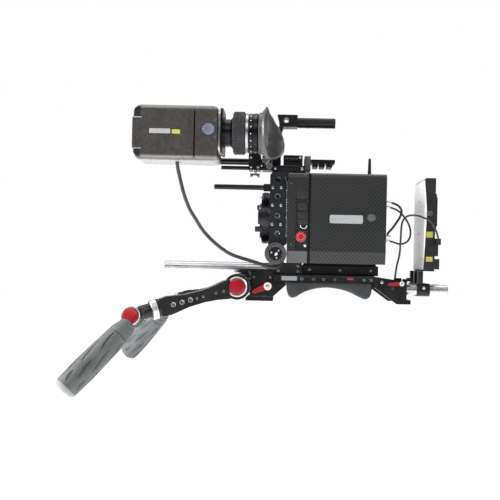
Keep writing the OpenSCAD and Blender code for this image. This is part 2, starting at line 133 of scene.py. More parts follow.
floor_mesh = bpy.data.meshes.new("floor")
FLOOR_HALF = 12.0
floor_mesh.from_pydata(
    [(x * FLOOR_HALF, y * FLOOR_HALF, FLOOR_Z) for x, y in ((-1, -1), (1, -1), (1, 1), (-1, 1))],
    [],
    [(0, 1, 2, 3)],
)
floor = bpy.data.objects.new("floor", floor_mesh)
scene.collection.objects.link(floor)
floor_paint = bpy.data.materials.new("studio_floor")
floor_paint.use_nodes = True
floor_shader = floor_paint.node_tree.nodes["Principled BSDF"]
for key, value in (("Base Color", WHITE), ("Roughness", 0.9), ("Emission Color", WHITE), ("Emission Strength", 0.85)):
    floor_shader.inputs[key].default_value = value
floor_mesh.materials.append(floor_paint)

# ---- Cables ----
# Four leads with smooth round jackets: the viewfinder's, which hangs from the viewfinder's underside to a plug on
# the camera's front, two loops on the rear panel, and the lead from the battery plate down to the rear bracket.

MM = 0.001
VIEWFINDER_ROUTE = [
    (-113, -98, 190), (-112, -95, 180), (-109, -91, 166), (-106, -88, 153), (-102, -84, 140),
    (-96, -81, 126), (-88, -77, 113), (-79, -74, 99), (-67, -70, 86), (-54, -67, 75), (-41, -64, 67),
    (-27, -60, 62), (-13, -57, 58), (0, -54, 54), (12, -51, 50), (22, -48, 49), (30, -45, 53), (33, -44, 59),
]
VIDEO_ROUTE = [
    (183.3, -30, 147), (190, -30, 146), (198, -30, 143), (203, -30, 138), (204, -30, 132),
    (201, -30, 124), (196, -30, 116), (191, -30, 109), (185, -30, 102), (183.3, -30, 96),
]
AUDIO_ROUTE = [
    (182.9, -20, 142), (190, -20, 140), (198, -20, 137), (205, -20, 132), (211, -20, 125), (216, -20, 117),
    (219, -20, 108), (219, -20, 99), (216, -20, 92), (210, -20, 88), (203, -20, 87), (196, -20, 89),
    (189, -20, 91), (182.9, -20, 92),
]
POWER_ROUTE = [
    (255, -46, 95.2), (252, -46, 105), (248, -46, 112), (242, -46, 120), (235, -46, 124), (227, -45, 127),
    (219, -43, 128), (212, -41, 127), (207, -39, 123), (204, -38, 117), (203, -37, 107), (203, -35, 96),
    (203, -32, 86), (203, -29, 76), (202, -26, 66), (200, -23, 56), (199, -21, 47), (198, -20, 37.2),
]
CABLE_SPLIT = 9
JACKET = (0.021, 0.022, 0.024)


def new_piece(name, mesh, material=None):
    """A new object at the origin with that mesh."""
    obj = bpy.data.objects.new(name, mesh)
    scene.collection.objects.link(obj)
    if material is not None:
        mesh.materials.clear()
        mesh.materials.append(material)
    return obj


def smooth(obj, angle=35):
    """Smooth shading, with edges sharper than angle kept crisp."""
    obj.data.polygons.foreach_set("use_smooth", [True] * len(obj.data.polygons))
    obj.data.set_sharp_from_angle(angle=math.radians(angle))
    return obj


def principled(name):
    """A new material: (material, node tree, its shader, object coordinates)."""
    material = bpy.data.materials.new(name)
    material.use_nodes = True
    tree = material.node_tree
    shader = tree.nodes["Principled BSDF"]
    coords = tree.nodes.new("ShaderNodeTexCoord").outputs["Object"]
    return material, tree, shader, coords


def noise(tree, coords, size, detail):
    """Noise with features about size metres across."""
    node = tree.nodes.new("ShaderNodeTexNoise")
    tree.links.new(coords, node.inputs["Vector"])
    node.inputs["Scale"].default_value = 1 / size
    node.inputs["Detail"].default_value = detail
    node.inputs["Roughness"].default_value = 0.55
    return node.outputs["Fac"]


def ramp(tree, value, low, high, start=0.0, stop=1.0):
    """value from start..stop brought to the range from low to high, or to the colours low and high."""
    if isinstance(low, (tuple, list)):
        node = tree.nodes.new("ShaderNodeValToRGB")
        node.color_ramp.elements[0].position, node.color_ramp.elements[1].position = start, stop
        node.color_ramp.elements[0].color = (*low, 1)
        node.color_ramp.elements[1].color = (*high, 1)
        tree.links.new(value, node.inputs["Fac"])
        return node.outputs["Color"]
    node = tree.nodes.new("ShaderNodeMapRange")
    for key, number in (("From Min", start), ("From Max", stop), ("To Min", low), ("To Max", high)):
        node.inputs[key].default_value = number
    tree.links.new(value, node.inputs["Value"])
    return node.outputs["Result"]


def bump(tree, shader, height, depth):
    """Raises the surface by height times depth metres."""
    node = tree.nodes.new("ShaderNodeBump")
    node.inputs["Distance"].default_value = depth
    tree.links.new(height, node.inputs["Height"])
    tree.links.new(node.outputs["Normal"], shader.inputs["Normal"])


def grained(name, colour, rough, spread=0.25, grain=0.0004, depth=0.00001, metallic=0.0, gloss=0.5, coat=0.0):
    """A moulded or painted surface: a fine grain, slow changes of tone, and uneven gloss."""
    material, tree, shader, coords = principled(name)
    patches = noise(tree, coords, 0.02, 4)
    dark = tuple(c * (1 - spread) for c in colour)
    light = tuple(min(1, c * (1 + spread) + 0.004) for c in colour)
    tree.links.new(ramp(tree, patches, dark, light, 0.3, 0.7), shader.inputs["Base Color"])
    tree.links.new(
        ramp(tree, noise(tree, coords, 0.006, 5), rough * 0.75, min(1, rough * 1.3), 0.3, 0.7),
        shader.inputs["Roughness"],
    )
    shader.inputs["Metallic"].default_value = metallic
    shader.inputs["Specular IOR Level"].default_value = gloss
    shader.inputs["Coat Weight"].default_value = coat
    shader.inputs["Coat Roughness"].default_value = 0.2
    bump(tree, shader, noise(tree, coords, grain, 2), depth)
    return material


def curve_through(points, steps):
    """Points on one smooth curve through the given points, steps for each stretch (Catmull-Rom)."""
    ends = [points[0] * 2 - points[1], *points, points[-1] * 2 - points[-2]]
    out = []
    for a, b, c, d in zip(ends, ends[1:], ends[2:], ends[3:]):
        for i in range(steps):
            t = i / steps
            out.append(
                0.5 * (2 * b + (c - a) * t + (2 * a - 5 * b + 4 * c - d) * t * t + (3 * b - a - 3 * c + d) * t**3)
            )
    return [*out, points[-1]]


def skin(bm, loops, inside_after=None):
    """Faces from each loop of points to the next. Those after loop inside_after take the second material."""
    for index, (a, b) in enumerate(zip(loops, loops[1:])):
        for k, vert in enumerate(a):
            m = (k + 1) % len(a)
            corners = list(dict.fromkeys((vert, a[m], b[m], b[k])))
            if len(corners) > 2:
                face = bm.faces.new(corners)
                face.material_index = int(inside_after is not None and index > inside_after)


def rings_mesh(name, rings):
    """A skin over rings of points, each ring with the same number of points, closed at both ends."""
    bm = bmesh.new()
    loops = [[bm.verts.new(p) for p in ring] for ring in rings]
    skin(bm, loops)
    bm.faces.new(list(reversed(loops[0])))
    bm.faces.new(loops[-1])
    bmesh.ops.recalc_face_normals(bm, faces=bm.faces)
    mesh = bpy.data.meshes.new(name)
    bm.to_mesh(mesh)
    bm.free()
    return mesh


def tube_along(name, line, radius, sides=16):
    """A round tube round a line of points."""
    rings = []
    turns = [2 * math.pi * k / sides for k in range(sides)]
    side = Vector((0.1, 1, 0.3))
    for i, point in enumerate(line):
        along = (line[min(i + 1, len(line) - 1)] - line[max(i - 1, 0)]).normalized()
        side = (side - along * side.dot(along)).normalized()
        up = along.cross(side)
        rings.append([point + radius * (side * math.cos(t) + up * math.sin(t)) for t in turns])
    return rings_mesh(name, rings)


def metres(points):
    return [Vector(p) * MM for p in points]


jacket = grained("cable_jacket", JACKET, 0.42, 0.3, grain=0.0009, depth=0.00003)


def lead(name, route, diameter, body, node, steps=6, turns_to=None):
    """One cable along its route. If turns_to is given, the cable is left in place on no body, and the body it names is
    not used.
    """
    line = curve_through(metres(route), steps)
    piece = smooth(new_piece(name, tube_along(name, line, diameter / 2), jacket), 60)
    if turns_to is None:
        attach(piece, body)
    else:
        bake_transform(piece)
    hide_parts(node)


lead("viewfinder_cable_lower", VIEWFINDER_ROUTE[:CABLE_SPLIT - 1:-1], 0.005, "camera", "viewfinder_cable",
     turns_to="vf_carriage")
lead("viewfinder_cable_upper", VIEWFINDER_ROUTE[CABLE_SPLIT::-1], 0.005, "vf_carriage", "viewfinder_cable",
     turns_to="viewfinder")
lead("video_cable_jacket", VIDEO_ROUTE, 0.0034, "camera", "video_cable")
lead("audio_cable_jacket", AUDIO_ROUTE, 0.0028, "camera", "audio_cable")
lead("power_cable_jacket", POWER_ROUTE, 0.0028, "base", "power_cable")

# ---- Base: foot, front block, rod saddle, rail, bracket for the handles ----
# Milled aluminium, blasted and anodised black. The foot, block and saddle are screwed to the underside of the rail,
# and the rail's dovetail groove takes the camera's sliding plate. Every edge is broken by a fine chamfer.

ANODISED = (0.0051, 0.0053, 0.0059)
ANODISED_BLUE = (0.012, 0.014, 0.018)
RAIL_SCREWS_X = (61, 78, 92, 108, 150, 160)
RAIL_SCREWS_Z = 33.5
RAIL_SIDE = 50.0
SCREW_R = 2.3

anodised = grained("black_anodised", ANODISED, 0.36, 0.3, grain=0.00025, depth=0.00002, metallic=0.1, gloss=0.25)
anodised_blue = grained("blue_black_anodised", ANODISED_BLUE, 0.34, 0.3, grain=0.00025, depth=0.00002,
                        metallic=0.25, gloss=0.35)


def merged(node, keep=None):
    """A frame node's mesh with its corners joined and its flat faces made whole. keep(centre in mm) picks solids."""
    bm = bmesh.new()
    bm.from_mesh(frame["nodes"][node].data)
    bmesh.ops.remove_doubles(bm, verts=bm.verts, dist=2e-6)
    if keep is not None:
        gone = [f for f in bm.faces if not keep(f.calc_center_median() / MM)]
        bmesh.ops.delete(bm, geom=gone, context="FACES")
    bmesh.ops.dissolve_limit(bm, angle_limit=math.radians(0.6), verts=bm.verts, edges=bm.edges)
    return bm


def finished(bm, name, material, body, edge=0, angle=30, node=None):
    """A piece from a bmesh, or from several, with broken edges, on its body and in place of a frame node."""
    if isinstance(bm, list):
        bm = joined(bm)
    mesh = bpy.data.meshes.new(name)
    bm.to_mesh(mesh)
    bm.free()
    piece = smooth(new_piece(name, mesh, material), angle)
    if edge:
        chamfer = piece.modifiers.new("edge", "BEVEL")
        chamfer.width = edge * MM
        chamfer.segments = 2
        chamfer.limit_method = "ANGLE"
        chamfer.angle_limit = math.radians(angle)
        chamfer.harden_normals = True
    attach(piece, body)
    if node is not None:
        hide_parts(node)
    return piece


def machined(node, material, edge=0.5, name=None, keep=None, angle=30):
    """A frame node made again with broken edges."""
    body = frame["nodes"][node]["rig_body"]
    return finished(merged(node, keep), name or node + "_part", material, body, edge, angle, node)


def prism(outline, axis, low, high):
    """A bmesh of a flat outline carried from low to high along axis 0, 1 or 2, in millimetres."""
    bm = bmesh.new()
    rings = []
    for end in (low, high):
        ring = []
        for a, b in outline:
            place = [a, b]
            place.insert(axis, end)
            ring.append(bm.verts.new(Vector(place) * MM))
        rings.append(ring)
    skin(bm, rings)
    bm.faces.new(list(reversed(rings[0])))
    bm.faces.new(rings[1])
    bmesh.ops.recalc_face_normals(bm, faces=bm.faces)
    return bm


def box_outline(a, b, radius, steps=4):
    """A rectangle from corner a to corner b with round corners."""
    out = []
    for cx, cy, start in ((b[0], b[1], 0), (a[0], b[1], 90), (a[0], a[1], 180), (b[0], a[1], 270)):
        ox = cx + (radius if cx == a[0] else -radius)
        oy = cy + (radius if cy == a[1] else -radius)
        for i in range(steps + 1):
            t = math.radians(start + 90 * i / steps)
            out.append((ox + radius * math.cos(t), oy + radius * math.sin(t)))
    return out


def node_chain(tree):
    """add(kind, **settings) puts a node in tree; a setting is an input's value, an output to link, or a property."""

    def add(kind, props=None, **inputs):
        node = tree.nodes.new(kind)
        for key, value in (props or {}).items():
            setattr(node, key, value)
        for key, value in inputs.items():
            socket = node.inputs[int(key[1:])] if key[0] == "_" else node.inputs[key.replace("_", " ")]
            for one in value if isinstance(value, list) else [value]:
                if isinstance(one, bpy.types.NodeSocket):
                    tree.links.new(one, socket)
                else:
                    socket.default_value = one
        return node

    return add


def geometry_tree(name, sockets):
    """An empty tree of shape nodes with named inputs: (tree, add, its group inputs by name, close)."""
    tree = bpy.data.node_groups.new(name, "GeometryNodeTree")
    tree.interface.new_socket("Geometry", in_out="INPUT", socket_type="NodeSocketGeometry")
    for label, kind in {**sockets, "Material": "Material"}.items():
        tree.interface.new_socket(label, in_out="INPUT", socket_type="NodeSocket" + kind)
    tree.interface.new_socket("Geometry", in_out="OUTPUT", socket_type="NodeSocketGeometry")
    add = node_chain(tree)
    inputs = add("NodeGroupInput").outputs

    def close(instances):
        real = add("GeometryNodeRealizeInstances", Geometry=instances)
        painted = add("GeometryNodeSetMaterial", Geometry=real.outputs[0], Material=inputs["Material"])
        add("NodeGroupOutput", Geometry=painted.outputs[0])

    return tree, add, inputs, close


def grown(name, tree, material, body, slot, spots=(((0, 0, 0), (0, 0, 1)),), node=None, **sizes):
    """The tree's shapes as one plain mesh on a body. spots are places and outward directions, sizes its inputs."""
    mesh = bpy.data.meshes.new(name)
    mesh.from_pydata([Vector(place) * MM for place, _ in spots], [], [])
    aims = mesh.attributes.new("aim", "FLOAT_VECTOR", "POINT")
    for i, (_, aim) in enumerate(spots):
        aims.data[i].vector = aim
    piece = new_piece(name, mesh)
    grow = piece.modifiers.new("grow", "NODES")
    grow.node_group = tree
    values = {**{key.replace("_", " "): value for key, value in sizes.items()}, "Material": material}
    for item in tree.interface.items_tree:
        if item.in_out == "INPUT" and item.name in values:
            value = values[item.name]
            if item.socket_type == "NodeSocketFloat":
                value = float(value) * MM
            elif item.socket_type == "NodeSocketVector" and item.name == "Centre":
                value = Vector(value) * MM
            grow[item.identifier] = value
    depsgraph = bpy.context.evaluated_depsgraph_get()
    plain = bpy.data.meshes.new_from_object(piece.evaluated_get(depsgraph))
    piece.modifiers.remove(grow)
    piece.data = plain
    plain.name = name
    smooth(piece)
    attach(piece, body)
    if node is not None:
        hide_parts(node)


def at_spots(tree, add, inputs, close, shape):
    """Ends the tree with the shape at each point, turned to its aim."""
    aim = add("GeometryNodeInputNamedAttribute", {"data_type": "FLOAT_VECTOR"}, Name="aim")
    turn = add("FunctionNodeAlignRotationToVector", {"axis": "Z"}, Vector=aim.outputs["Attribute"])
    close(add("GeometryNodeInstanceOnPoints", Points=inputs["Geometry"], Instance=shape,
              Rotation=turn.outputs[0]).outputs[0])
    return tree


def times(add, value, factor):
    return add("ShaderNodeMath", {"operation": "MULTIPLY"}, _0=value, _1=factor).outputs[0]


def moved(add, geometry, **shift):
    """The geometry moved along the given axes."""
    shift = add("ShaderNodeCombineXYZ", **shift).outputs[0]
    return add("GeometryNodeTransform", Geometry=geometry, Translation=shift).outputs[0]


def socket_screw_tree():
    """A socket head screw at each point: a round head with a broken edge and a hexagonal hole."""
    tree, add, inputs, close = geometry_tree(
        "socket_screws", {"Head Radius": "Float", "Head Height": "Float", "Socket Radius": "Float"}
    )
    radius, height, socket = (inputs[key] for key in ("Head Radius", "Head Height", "Socket Radius"))

    drum = add("GeometryNodeMeshCylinder", Vertices=20, Radius=radius, Depth=times(add, height, 0.8)).outputs["Mesh"]
    rim = add("GeometryNodeMeshCone", Vertices=20, Radius_Top=times(add, radius, 0.86), Radius_Bottom=radius,
              Depth=times(add, height, 0.2)).outputs["Mesh"]
    parts = [moved(add, rim, Z=times(add, height, 0.9)), moved(add, drum, Z=times(add, height, 0.4))]
    head = add("GeometryNodeJoinGeometry", Geometry=parts)
    head = add("GeometryNodeMergeByDistance", Geometry=head.outputs[0], Distance=1e-6)
    hexagon = add("GeometryNodeMeshCylinder", Vertices=6, Radius=socket, Depth=height).outputs["Mesh"]
    cut = add("GeometryNodeMeshBoolean", {"operation": "DIFFERENCE"}, _0=head.outputs[0],
              _1=moved(add, hexagon, Z=height))
    return at_spots(tree, add, inputs, close, cut.outputs["Mesh"])


screw_steel = grained("black_screw_steel", (0.16, 0.16, 0.165), 0.3, 0.2, metallic=0.9)
bright_screw = grained("bright_screw_steel", (0.62, 0.62, 0.64), 0.24, 0.12, metallic=1.0)
screws = socket_screw_tree()


def both_sides(places):
    """Spots at each place and at its mirror image, facing outward."""
    return [((x, s * y, z), (0, s, 0)) for x, y, z in places for s in (-1, 1)]


def screwed(name, metal, body, spots, size, node=None):
    """Socket screws at spots. size is (head radius, head height, socket radius)."""
    grown(name, screws, metal, body, "steel", spots, node, Head_Radius=size[0], Head_Height=size[1],
          Socket_Radius=size[2])


for node, edge in (("front_foot", 0.6), ("front_block", 0.9), ("rod_saddle", 0.6), ("base_rail", 0.45)):
    machined(node, anodised, edge)

# The bracket's pivot pins are drawn a little thinner and shorter than they are, so that they stay clear of the
# turning arms.
PIVOT = (-29, 21.6)
BRACKET_SIDE = 68.6
PIN_R = 6
PIN_REACH, PIN_SLIM = 0.9985, 0.84
bracket = merged("handle_bracket")
for vert in bracket.verts:
    if abs(vert.co.y) > BRACKET_SIDE * MM:
        vert.co.y *= PIN_REACH
        x, z = vert.co.x - PIVOT[0] * MM, vert.co.z - PIVOT[1] * MM
        if math.hypot(x, z) < PIN_R * MM:
            vert.co.x, vert.co.z = PIVOT[0] * MM + x * PIN_SLIM, PIVOT[1] * MM + z * PIN_SLIM
finished(bracket, "handle_bracket_part", anodised, "base", 0.6, node="handle_bracket")
screwed("rail_screws", screw_steel, "base", both_sides([(x, RAIL_SIDE - 1.6, RAIL_SCREWS_Z) for x in RAIL_SCREWS_X]),
        node="base_screws", size=(SCREW_R, 1.9, 1.3))
screwed("block_screws", screw_steel, "base",
        both_sides([(-8, 45, 35), (16, 45, 35), (-14, 45, 41.6), (-29, 61.9, 27)]), size=(1.7, 0.6, 0.9))

# ---- Blank plates on the rail ----
# Thin printed plates glued into shallow beds on both sides of the rail: one gray, one red. They carry no words.

RED = (0.3000, 0.0072, 0.0120)
plate_gray = grained("gray_label", (0.23, 0.24, 0.25), 0.4, 0.15, gloss=0.4)
plate_red = grained("red_label", RED, 0.38, 0.15)


def label(name, outline, side, proud, material, body, slot):
    """A thin plate on the face at Y = side, standing proud of it."""
    low, high = sorted((side - math.copysign(0.3, side), side + math.copysign(proud, side)))
    finished(prism(outline, 1, low, high), name, material, body, edge=0.08)


HANDS = (("left", -1), ("right", 1))
for hand, s in HANDS:
    label(f"rail_gray_plate_{hand}", box_outline((32, 31), (54, 37), 0.8), s * RAIL_SIDE, 0.2, plate_gray,
          "base", "gray_plastic")
    label(f"rail_red_plate_{hand}", box_outline((125.5, 33.4), (134.5, 36.4), 0.5), s * RAIL_SIDE, 0.2, plate_red,
          "base", "red_plastic")

# ---- Shoulder pad ----
# A moulded pad of closed-cell gray foam, glued under the rail. Its skin is smooth, its ends are rounded over, and
# the shoulder's weight rests on the hollow between its two feet.

PAD_OUTLINE = [
    (39.3, 28.5), (38.9, 24), (39.3, 19), (41, 12), (43.5, 7.9), (48, 6), (54, 8), (59.5, 11.6), (66, 15), (74, 18),
    (82, 20), (90, 21.2), (98, 21.6), (108, 20.8), (118, 19), (127, 16.4), (136, 13), (142, 9.9), (148, 7),
    (152, 5.9), (156, 6.9), (159, 9.6), (160.8, 14.5), (161.7, 20), (162, 28.5),
]
PAD_HALF = 48.0
PAD_ROUND = 5.0
PAD_TOP = 28.5
foam = grained("gray_foam", (0.034, 0.036, 0.038), 0.75, 0.16, grain=0.0011, depth=0.00016, gloss=0.25)


def pad_rings():
    """The pad's outline at stations across it, drawn in towards both ends."""
    line = curve_through([Vector(point) for point in PAD_OUTLINE], 3)
    rings = []
    stations = [PAD_HALF - PAD_ROUND + PAD_ROUND * math.sin(math.radians(a)) for a in range(0, 91, 15)]
    across = [-y for y in reversed(stations)] + [-28, -14, 0, 14, 28] + stations
    for y in across:
        over = max(0.0, (abs(y) - (PAD_HALF - PAD_ROUND)) / PAD_ROUND)
        inset = PAD_ROUND * (1 - math.sqrt(max(0.0, 1 - over * over)))
        ring = []
        for i, point in enumerate(line):
            along = (line[min(i + 1, len(line) - 1)] - line[max(i - 1, 0)]).normalized()
            x, z = point + Vector((-along.y, along.x)) * inset
            ring.append(Vector((x, y, min(z, PAD_TOP))) * MM)
        rings.append(ring)
    return rings


pad = smooth(new_piece("shoulder_pad_foam", rings_mesh("shoulder_pad_foam", pad_rings()), foam), 50)
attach(pad, "base")
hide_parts("shoulder_pad")

# ---- Rear wings, rear block, rods and clamp ----
# Two milled side plates carry a cross block and catch bar at the rear. The block holds two polished steel rods, and
# a black clamp on the rods carries the battery plate on three short posts.

STEEL = (0.45, 0.455, 0.465)
REAR_ROD_X = (195.0, 272.5)
REAR_ROD_Z = 20.5
ROD_Y = 30.0
ROD_R = 7.5


def turned(name, colour, rough, axis, rings=0.00035, depth=0.000012):
    """Turned or drawn metal: fine lines round the piece's axis."""
    material, tree, shader, coords = principled(name)
    stretch = tree.nodes.new("ShaderNodeMapping")
    stretch.inputs["Scale"].default_value = [1.0 if i == axis else 0.02 for i in range(3)]
    tree.links.new(coords, stretch.inputs["Vector"])
    lines = noise(tree, stretch.outputs["Vector"], rings, 2)
    tree.links.new(ramp(tree, lines, rough * 0.7, rough * 1.4, 0.3, 0.7), shader.inputs["Roughness"])
    dark, light = tuple(c * 0.82 for c in colour), tuple(min(1.0, c * 1.12) for c in colour)
    tree.links.new(ramp(tree, noise(tree, coords, 0.012, 3), dark, light, 0.3, 0.7), shader.inputs["Base Color"])
    shader.inputs["Metallic"].default_value = 1.0
    bump(tree, shader, lines, depth)
    return material


def lathe(profile, centre, axis, sides=48):
    """A bmesh turned from a profile of (distance along axis, radius) round a line through centre, in mm."""
    axis = Vector(axis).normalized()
    side = axis.orthogonal().normalized()
    up = axis.cross(side)
    turns = [2 * math.pi * k / sides for k in range(sides)]
    bm = bmesh.new()
    loops = []
    for along, radius in profile:
        foot = Vector(centre) + axis * along
        if radius < 1e-6:
            loops.append([bm.verts.new(foot * MM)] * sides)
            continue
        loops.append([bm.verts.new((foot + radius * (side * math.cos(t) + up * math.sin(t))) * MM) for t in turns])
    skin(bm, loops)
    for loop, (_, radius) in ((loops[0], profile[0]), (loops[-1], profile[-1])):
        if radius > 1e-6 and profile[0] != profile[-1]:
            bm.faces.new(loop)
    bmesh.ops.remove_doubles(bm, verts=bm.verts, dist=1e-7)
    bmesh.ops.recalc_face_normals(bm, faces=bm.faces)
    return bm


def joined(parts):
    """One bmesh holding all the given ones."""
    whole = parts[0]
    for part in parts[1:]:
        mesh = bpy.data.meshes.new("part")
        part.to_mesh(mesh)
        part.free()
        whole.from_mesh(mesh)
        bpy.data.meshes.remove(mesh)
    return whole


def rod(x0, x1, y, z, radius, bore=0.0):
    """A rod along X with chamfered ends, and a bore if one is given."""
    profile = [(x0, radius - 1.0), (x0 + 1.0, radius), (x1 - 1.0, radius), (x1, radius - 1.0)]
    if bore:
        profile = [*profile, (x1, bore), (x0, bore), profile[0]]
    else:
        profile = [(x0, 0.0), *profile, (x1, 0.0)]
    return lathe(profile, (0, y, z), (1, 0, 0))


rod_steel = grained("polished_rod", STEEL, 0.34, 0.1, grain=0.003, depth=0.000001, metallic=1.0)
for node, edge in (("rear_wings", 0.6), ("rear_block", 0.6), ("rod_clamp", 0.7)):
    machined(node, anodised, edge)
finished(
    [rod(*REAR_ROD_X, s * ROD_Y, REAR_ROD_Z, ROD_R, bore=3.2) for s in (-1, 1)],
    "rear_rods_steel", rod_steel, "base", node="rear_rods",
)
screwed("clamp_screws", bright_screw, "base", both_sides([(236.8, 40, 24), (175, 50, 31)]), size=(2.2, 0.7, 1.2))

# ---- Battery plate ----
# A white-painted cover plate on a black case that holds the regulator. Behind it are the battery's slide rails, its
# contact block and the power sockets. Two blank yellow labels mark the sockets on each side.

WHITE_PAINT = (0.86, 0.86, 0.86)
YELLOW = (0.42, 0.40, 0.06)
PLATE_FRONT_X = 235.0
MARKS = ((163, 2.2), (151, 6.0), (137, 2.2), (115, 2.2), (103, 6.0), (88, 2.2))
white_paint = grained("white_paint", WHITE_PAINT, 0.45, 0.05, grain=0.0005, depth=0.00003)
case_plastic = grained("black_case_plastic", (0.007, 0.007, 0.008), 0.5, 0.35, grain=0.0005, depth=0.00006, gloss=0.35)
gray_plastic = grained("gray_plastic", (0.075, 0.076, 0.08), 0.5, 0.2, grain=0.0005, depth=0.00005, gloss=0.4)
plate_yellow = grained("yellow_label", YELLOW, 0.45, 0.1)
gold = grained("gilt_contact", (0.75, 0.55, 0.20), 0.25, 0.1, metallic=1.0)

machined("power_plate", white_paint, 0.5, "power_plate_cover", keep=lambda c: c.x < 237.01)
machined("power_plate", case_plastic, 0.8, "power_plate_case", keep=lambda c: c.x > 236.99)
machined("battery_mount", case_plastic, 0.6)
finished(
    [prism(box_outline((-w / 2, z - 1), (w / 2, z + 1), 0.8), 0, PLATE_FRONT_X - 0.1, PLATE_FRONT_X + 0.4)
     for z, w in MARKS],
    "plate_front_marks", case_plastic, "base",
)
for hand, s in HANDS:
    for place, (low, high) in (("upper", (96.5, 105)), ("lower", (62, 69))):
        label(f"socket_label_{place}_{hand}", box_outline((238.6, low), (248, high), 0.8), s * 42, 0.15,
              plate_yellow, "base", "dark_plastic")
finished(
    [prism(box_outline((y - 1, 121), (y + 1, 137), 0.6), 0, 251.2, 252.6) for y in (-9, -3, 3, 9)],
    "battery_contacts", gold, "base", edge=0.1,
)
finished(
    [lathe([(0, 0), (0, 3.4), (0.8, 3.4), (0.8, 2.4), (0.3, 2.4), (0.3, 0.9), (0.9, 0.9), (0.9, 0)],
           (255.9, y, 82.5), (1, 0, 0), 24) for y in (-30, -10, 10, 30)],
    "power_sockets", bright_screw, "base",
)
finished(
    [prism(box_outline((-16, z), (16, z + 1.6), 0.6), 0, 257.8, 258.2) for z in (54, 57.5, 61)],
    "terminal_slots", case_plastic, "base",
)


def spoke_tree():
    """Ribs round an axis: blocks on a circle, their length along the axis, set out from the middle."""
    tree, add, inputs, close = geometry_tree(
        "ribs_round_axis",
        {"Count": "Int", "Radius": "Float", "Rib Depth": "Float", "Rib Width": "Float", "Rib Length": "Float",
         "Centre": "Vector", "Axis": "Vector"},
    )
    circle = add("GeometryNodeMeshCircle", Vertices=inputs["Count"], Radius=inputs["Radius"])
    size = add("ShaderNodeCombineXYZ", X=inputs["Rib Depth"], Y=inputs["Rib Width"], Z=inputs["Rib Length"])
    rib = add("GeometryNodeMeshCube", Size=size.outputs[0])
    outward = add("GeometryNodeInputPosition")
    turn = add("FunctionNodeAlignRotationToVector", {"axis": "X", "pivot_axis": "Z"}, Vector=outward.outputs[0])
    ribs = add("GeometryNodeInstanceOnPoints", Points=circle.outputs[0], Instance=rib.outputs["Mesh"],
               Rotation=turn.outputs[0])
    stand = add("FunctionNodeAlignRotationToVector", {"axis": "Z"}, Vector=inputs["Axis"])
    placed = add("GeometryNodeTransform", Geometry=ribs.outputs[0], Translation=inputs["Centre"],
                 Rotation=stand.outputs[0])
    close(placed.outputs[0])
    return tree


ribs = spoke_tree()


def ribbed(name, material, body, slot, count, radius, size, centre, axis):
    """Ribs on a circle. size is how deep, wide and long each one is."""
    grown(name, ribs, material, body, slot, Count=count, Radius=radius, Rib_Depth=size[0], Rib_Width=size[1],
          Rib_Length=size[2], Centre=centre, Axis=axis)


RELEASE = (243, -41.8, 131)
finished(
    lathe([(0, 0), (0, 3.6), (-1.3, 3.6), (-1.7, 3.2), (-1.7, 1.6), (-1.2, 1.2), (-1.2, 0)], RELEASE, (0, 1, 0), 32),
    "battery_release_knob", gray_plastic, "battery_release", node="battery_release",
)
ribbed("battery_release_ribs", gray_plastic, "battery_release", "dark_plastic", 24, 3.6, (0.7, 0.45, 1.3),
       (243, -42.5, 131), (0, 1, 0))

# ---- Red levers ----
# Two cast levers, anodised red: the front one locks the rod saddle, the rear one the wings' cross block. Each turns
# on a bright shoulder screw with a pale washer round its socket.

red_metal = grained("red_anodised", RED, 0.28, 0.15, metallic=0.35, coat=0.3)
washer = grained("pale_washer", (0.80, 0.74, 0.74), 0.35, 0.08, metallic=0.3)
machined("front_lever", red_metal, 0.7, "front_lever_red")
machined("rear_lever", red_metal, 0.6, "rear_lever_red")
for name, place, radius in (("front", (12.4, -49.9, 22), 5.4), ("rear", (203, -54.4, 29.5), 3.3)):
    finished(
        lathe([(0, radius * 0.55), (0, radius), (-0.35, radius), (-0.6, radius - 0.4), (-0.6, radius * 0.55),
               (0, radius * 0.55)], place, (0, 1, 0), 36),
        f"{name}_lever_washer", washer, f"{name}_lever",
    )
    screwed(f"{name}_lever_screw", bright_screw, f"{name}_lever", [(place, (0, -1, 0))],
            size=(radius * 0.5, 0.5, radius * 0.26))

# ---- Sliding plate, small base plate and front rods ----
# The black dovetail plate slides in the rail's groove. The small plate in front of it clamps two long bright steel
# rods, which run forward under the lens.

FRONT_ROD_X = (-138.0, 50.0)
FRONT_ROD_Z = 48.0
machined("sliding_plate", anodised, 0.7)
machined("mini_plate", anodised_blue, 0.7)
finished(
    [rod(*FRONT_ROD_X, s * ROD_Y, FRONT_ROD_Z, ROD_R - 0.01, bore=3.2) for s in (-1, 1)],
    "front_rods_steel", rod_steel, "front_rods", node="front_rods",
)
screwed("plate_screws", screw_steel, "camera",
        both_sides([(27, 41.9, 44.5), (55, 41.9, 44.5), (55, 41.9, 52), *[(x, 37.9, 47) for x in (72, 116, 160)]]),
        size=(2.2, 0.8, 1.2))

# ---- Camera body: chassis, carbon covers and front panel ----
# A milled aluminium chassis carries thin side covers laid up in 2/2 twill carbon cloth under a satin lacquer. The
# front panels' cloth runs the other way, and below its lower edge line the laminate is plain and gray.

TOW = 1.4
CARBON_DARK = (0.002, 0.0022, 0.0024)
CARBON_LIGHT = (0.026, 0.028, 0.029)
PLAIN_GRAY = (0.075, 0.076, 0.078)
PLAIN_BELOW_Z = 72.5


def math_node(tree, operation, a, b=0.0):
    """a operation b, each an output or a number."""
    node = tree.nodes.new("ShaderNodeMath")
    node.operation = operation
    for socket, value in zip(node.inputs, (a, b)):
        if isinstance(value, bpy.types.NodeSocket):
            tree.links.new(value, socket)
        else:
            socket.default_value = value
    return node.outputs[0]


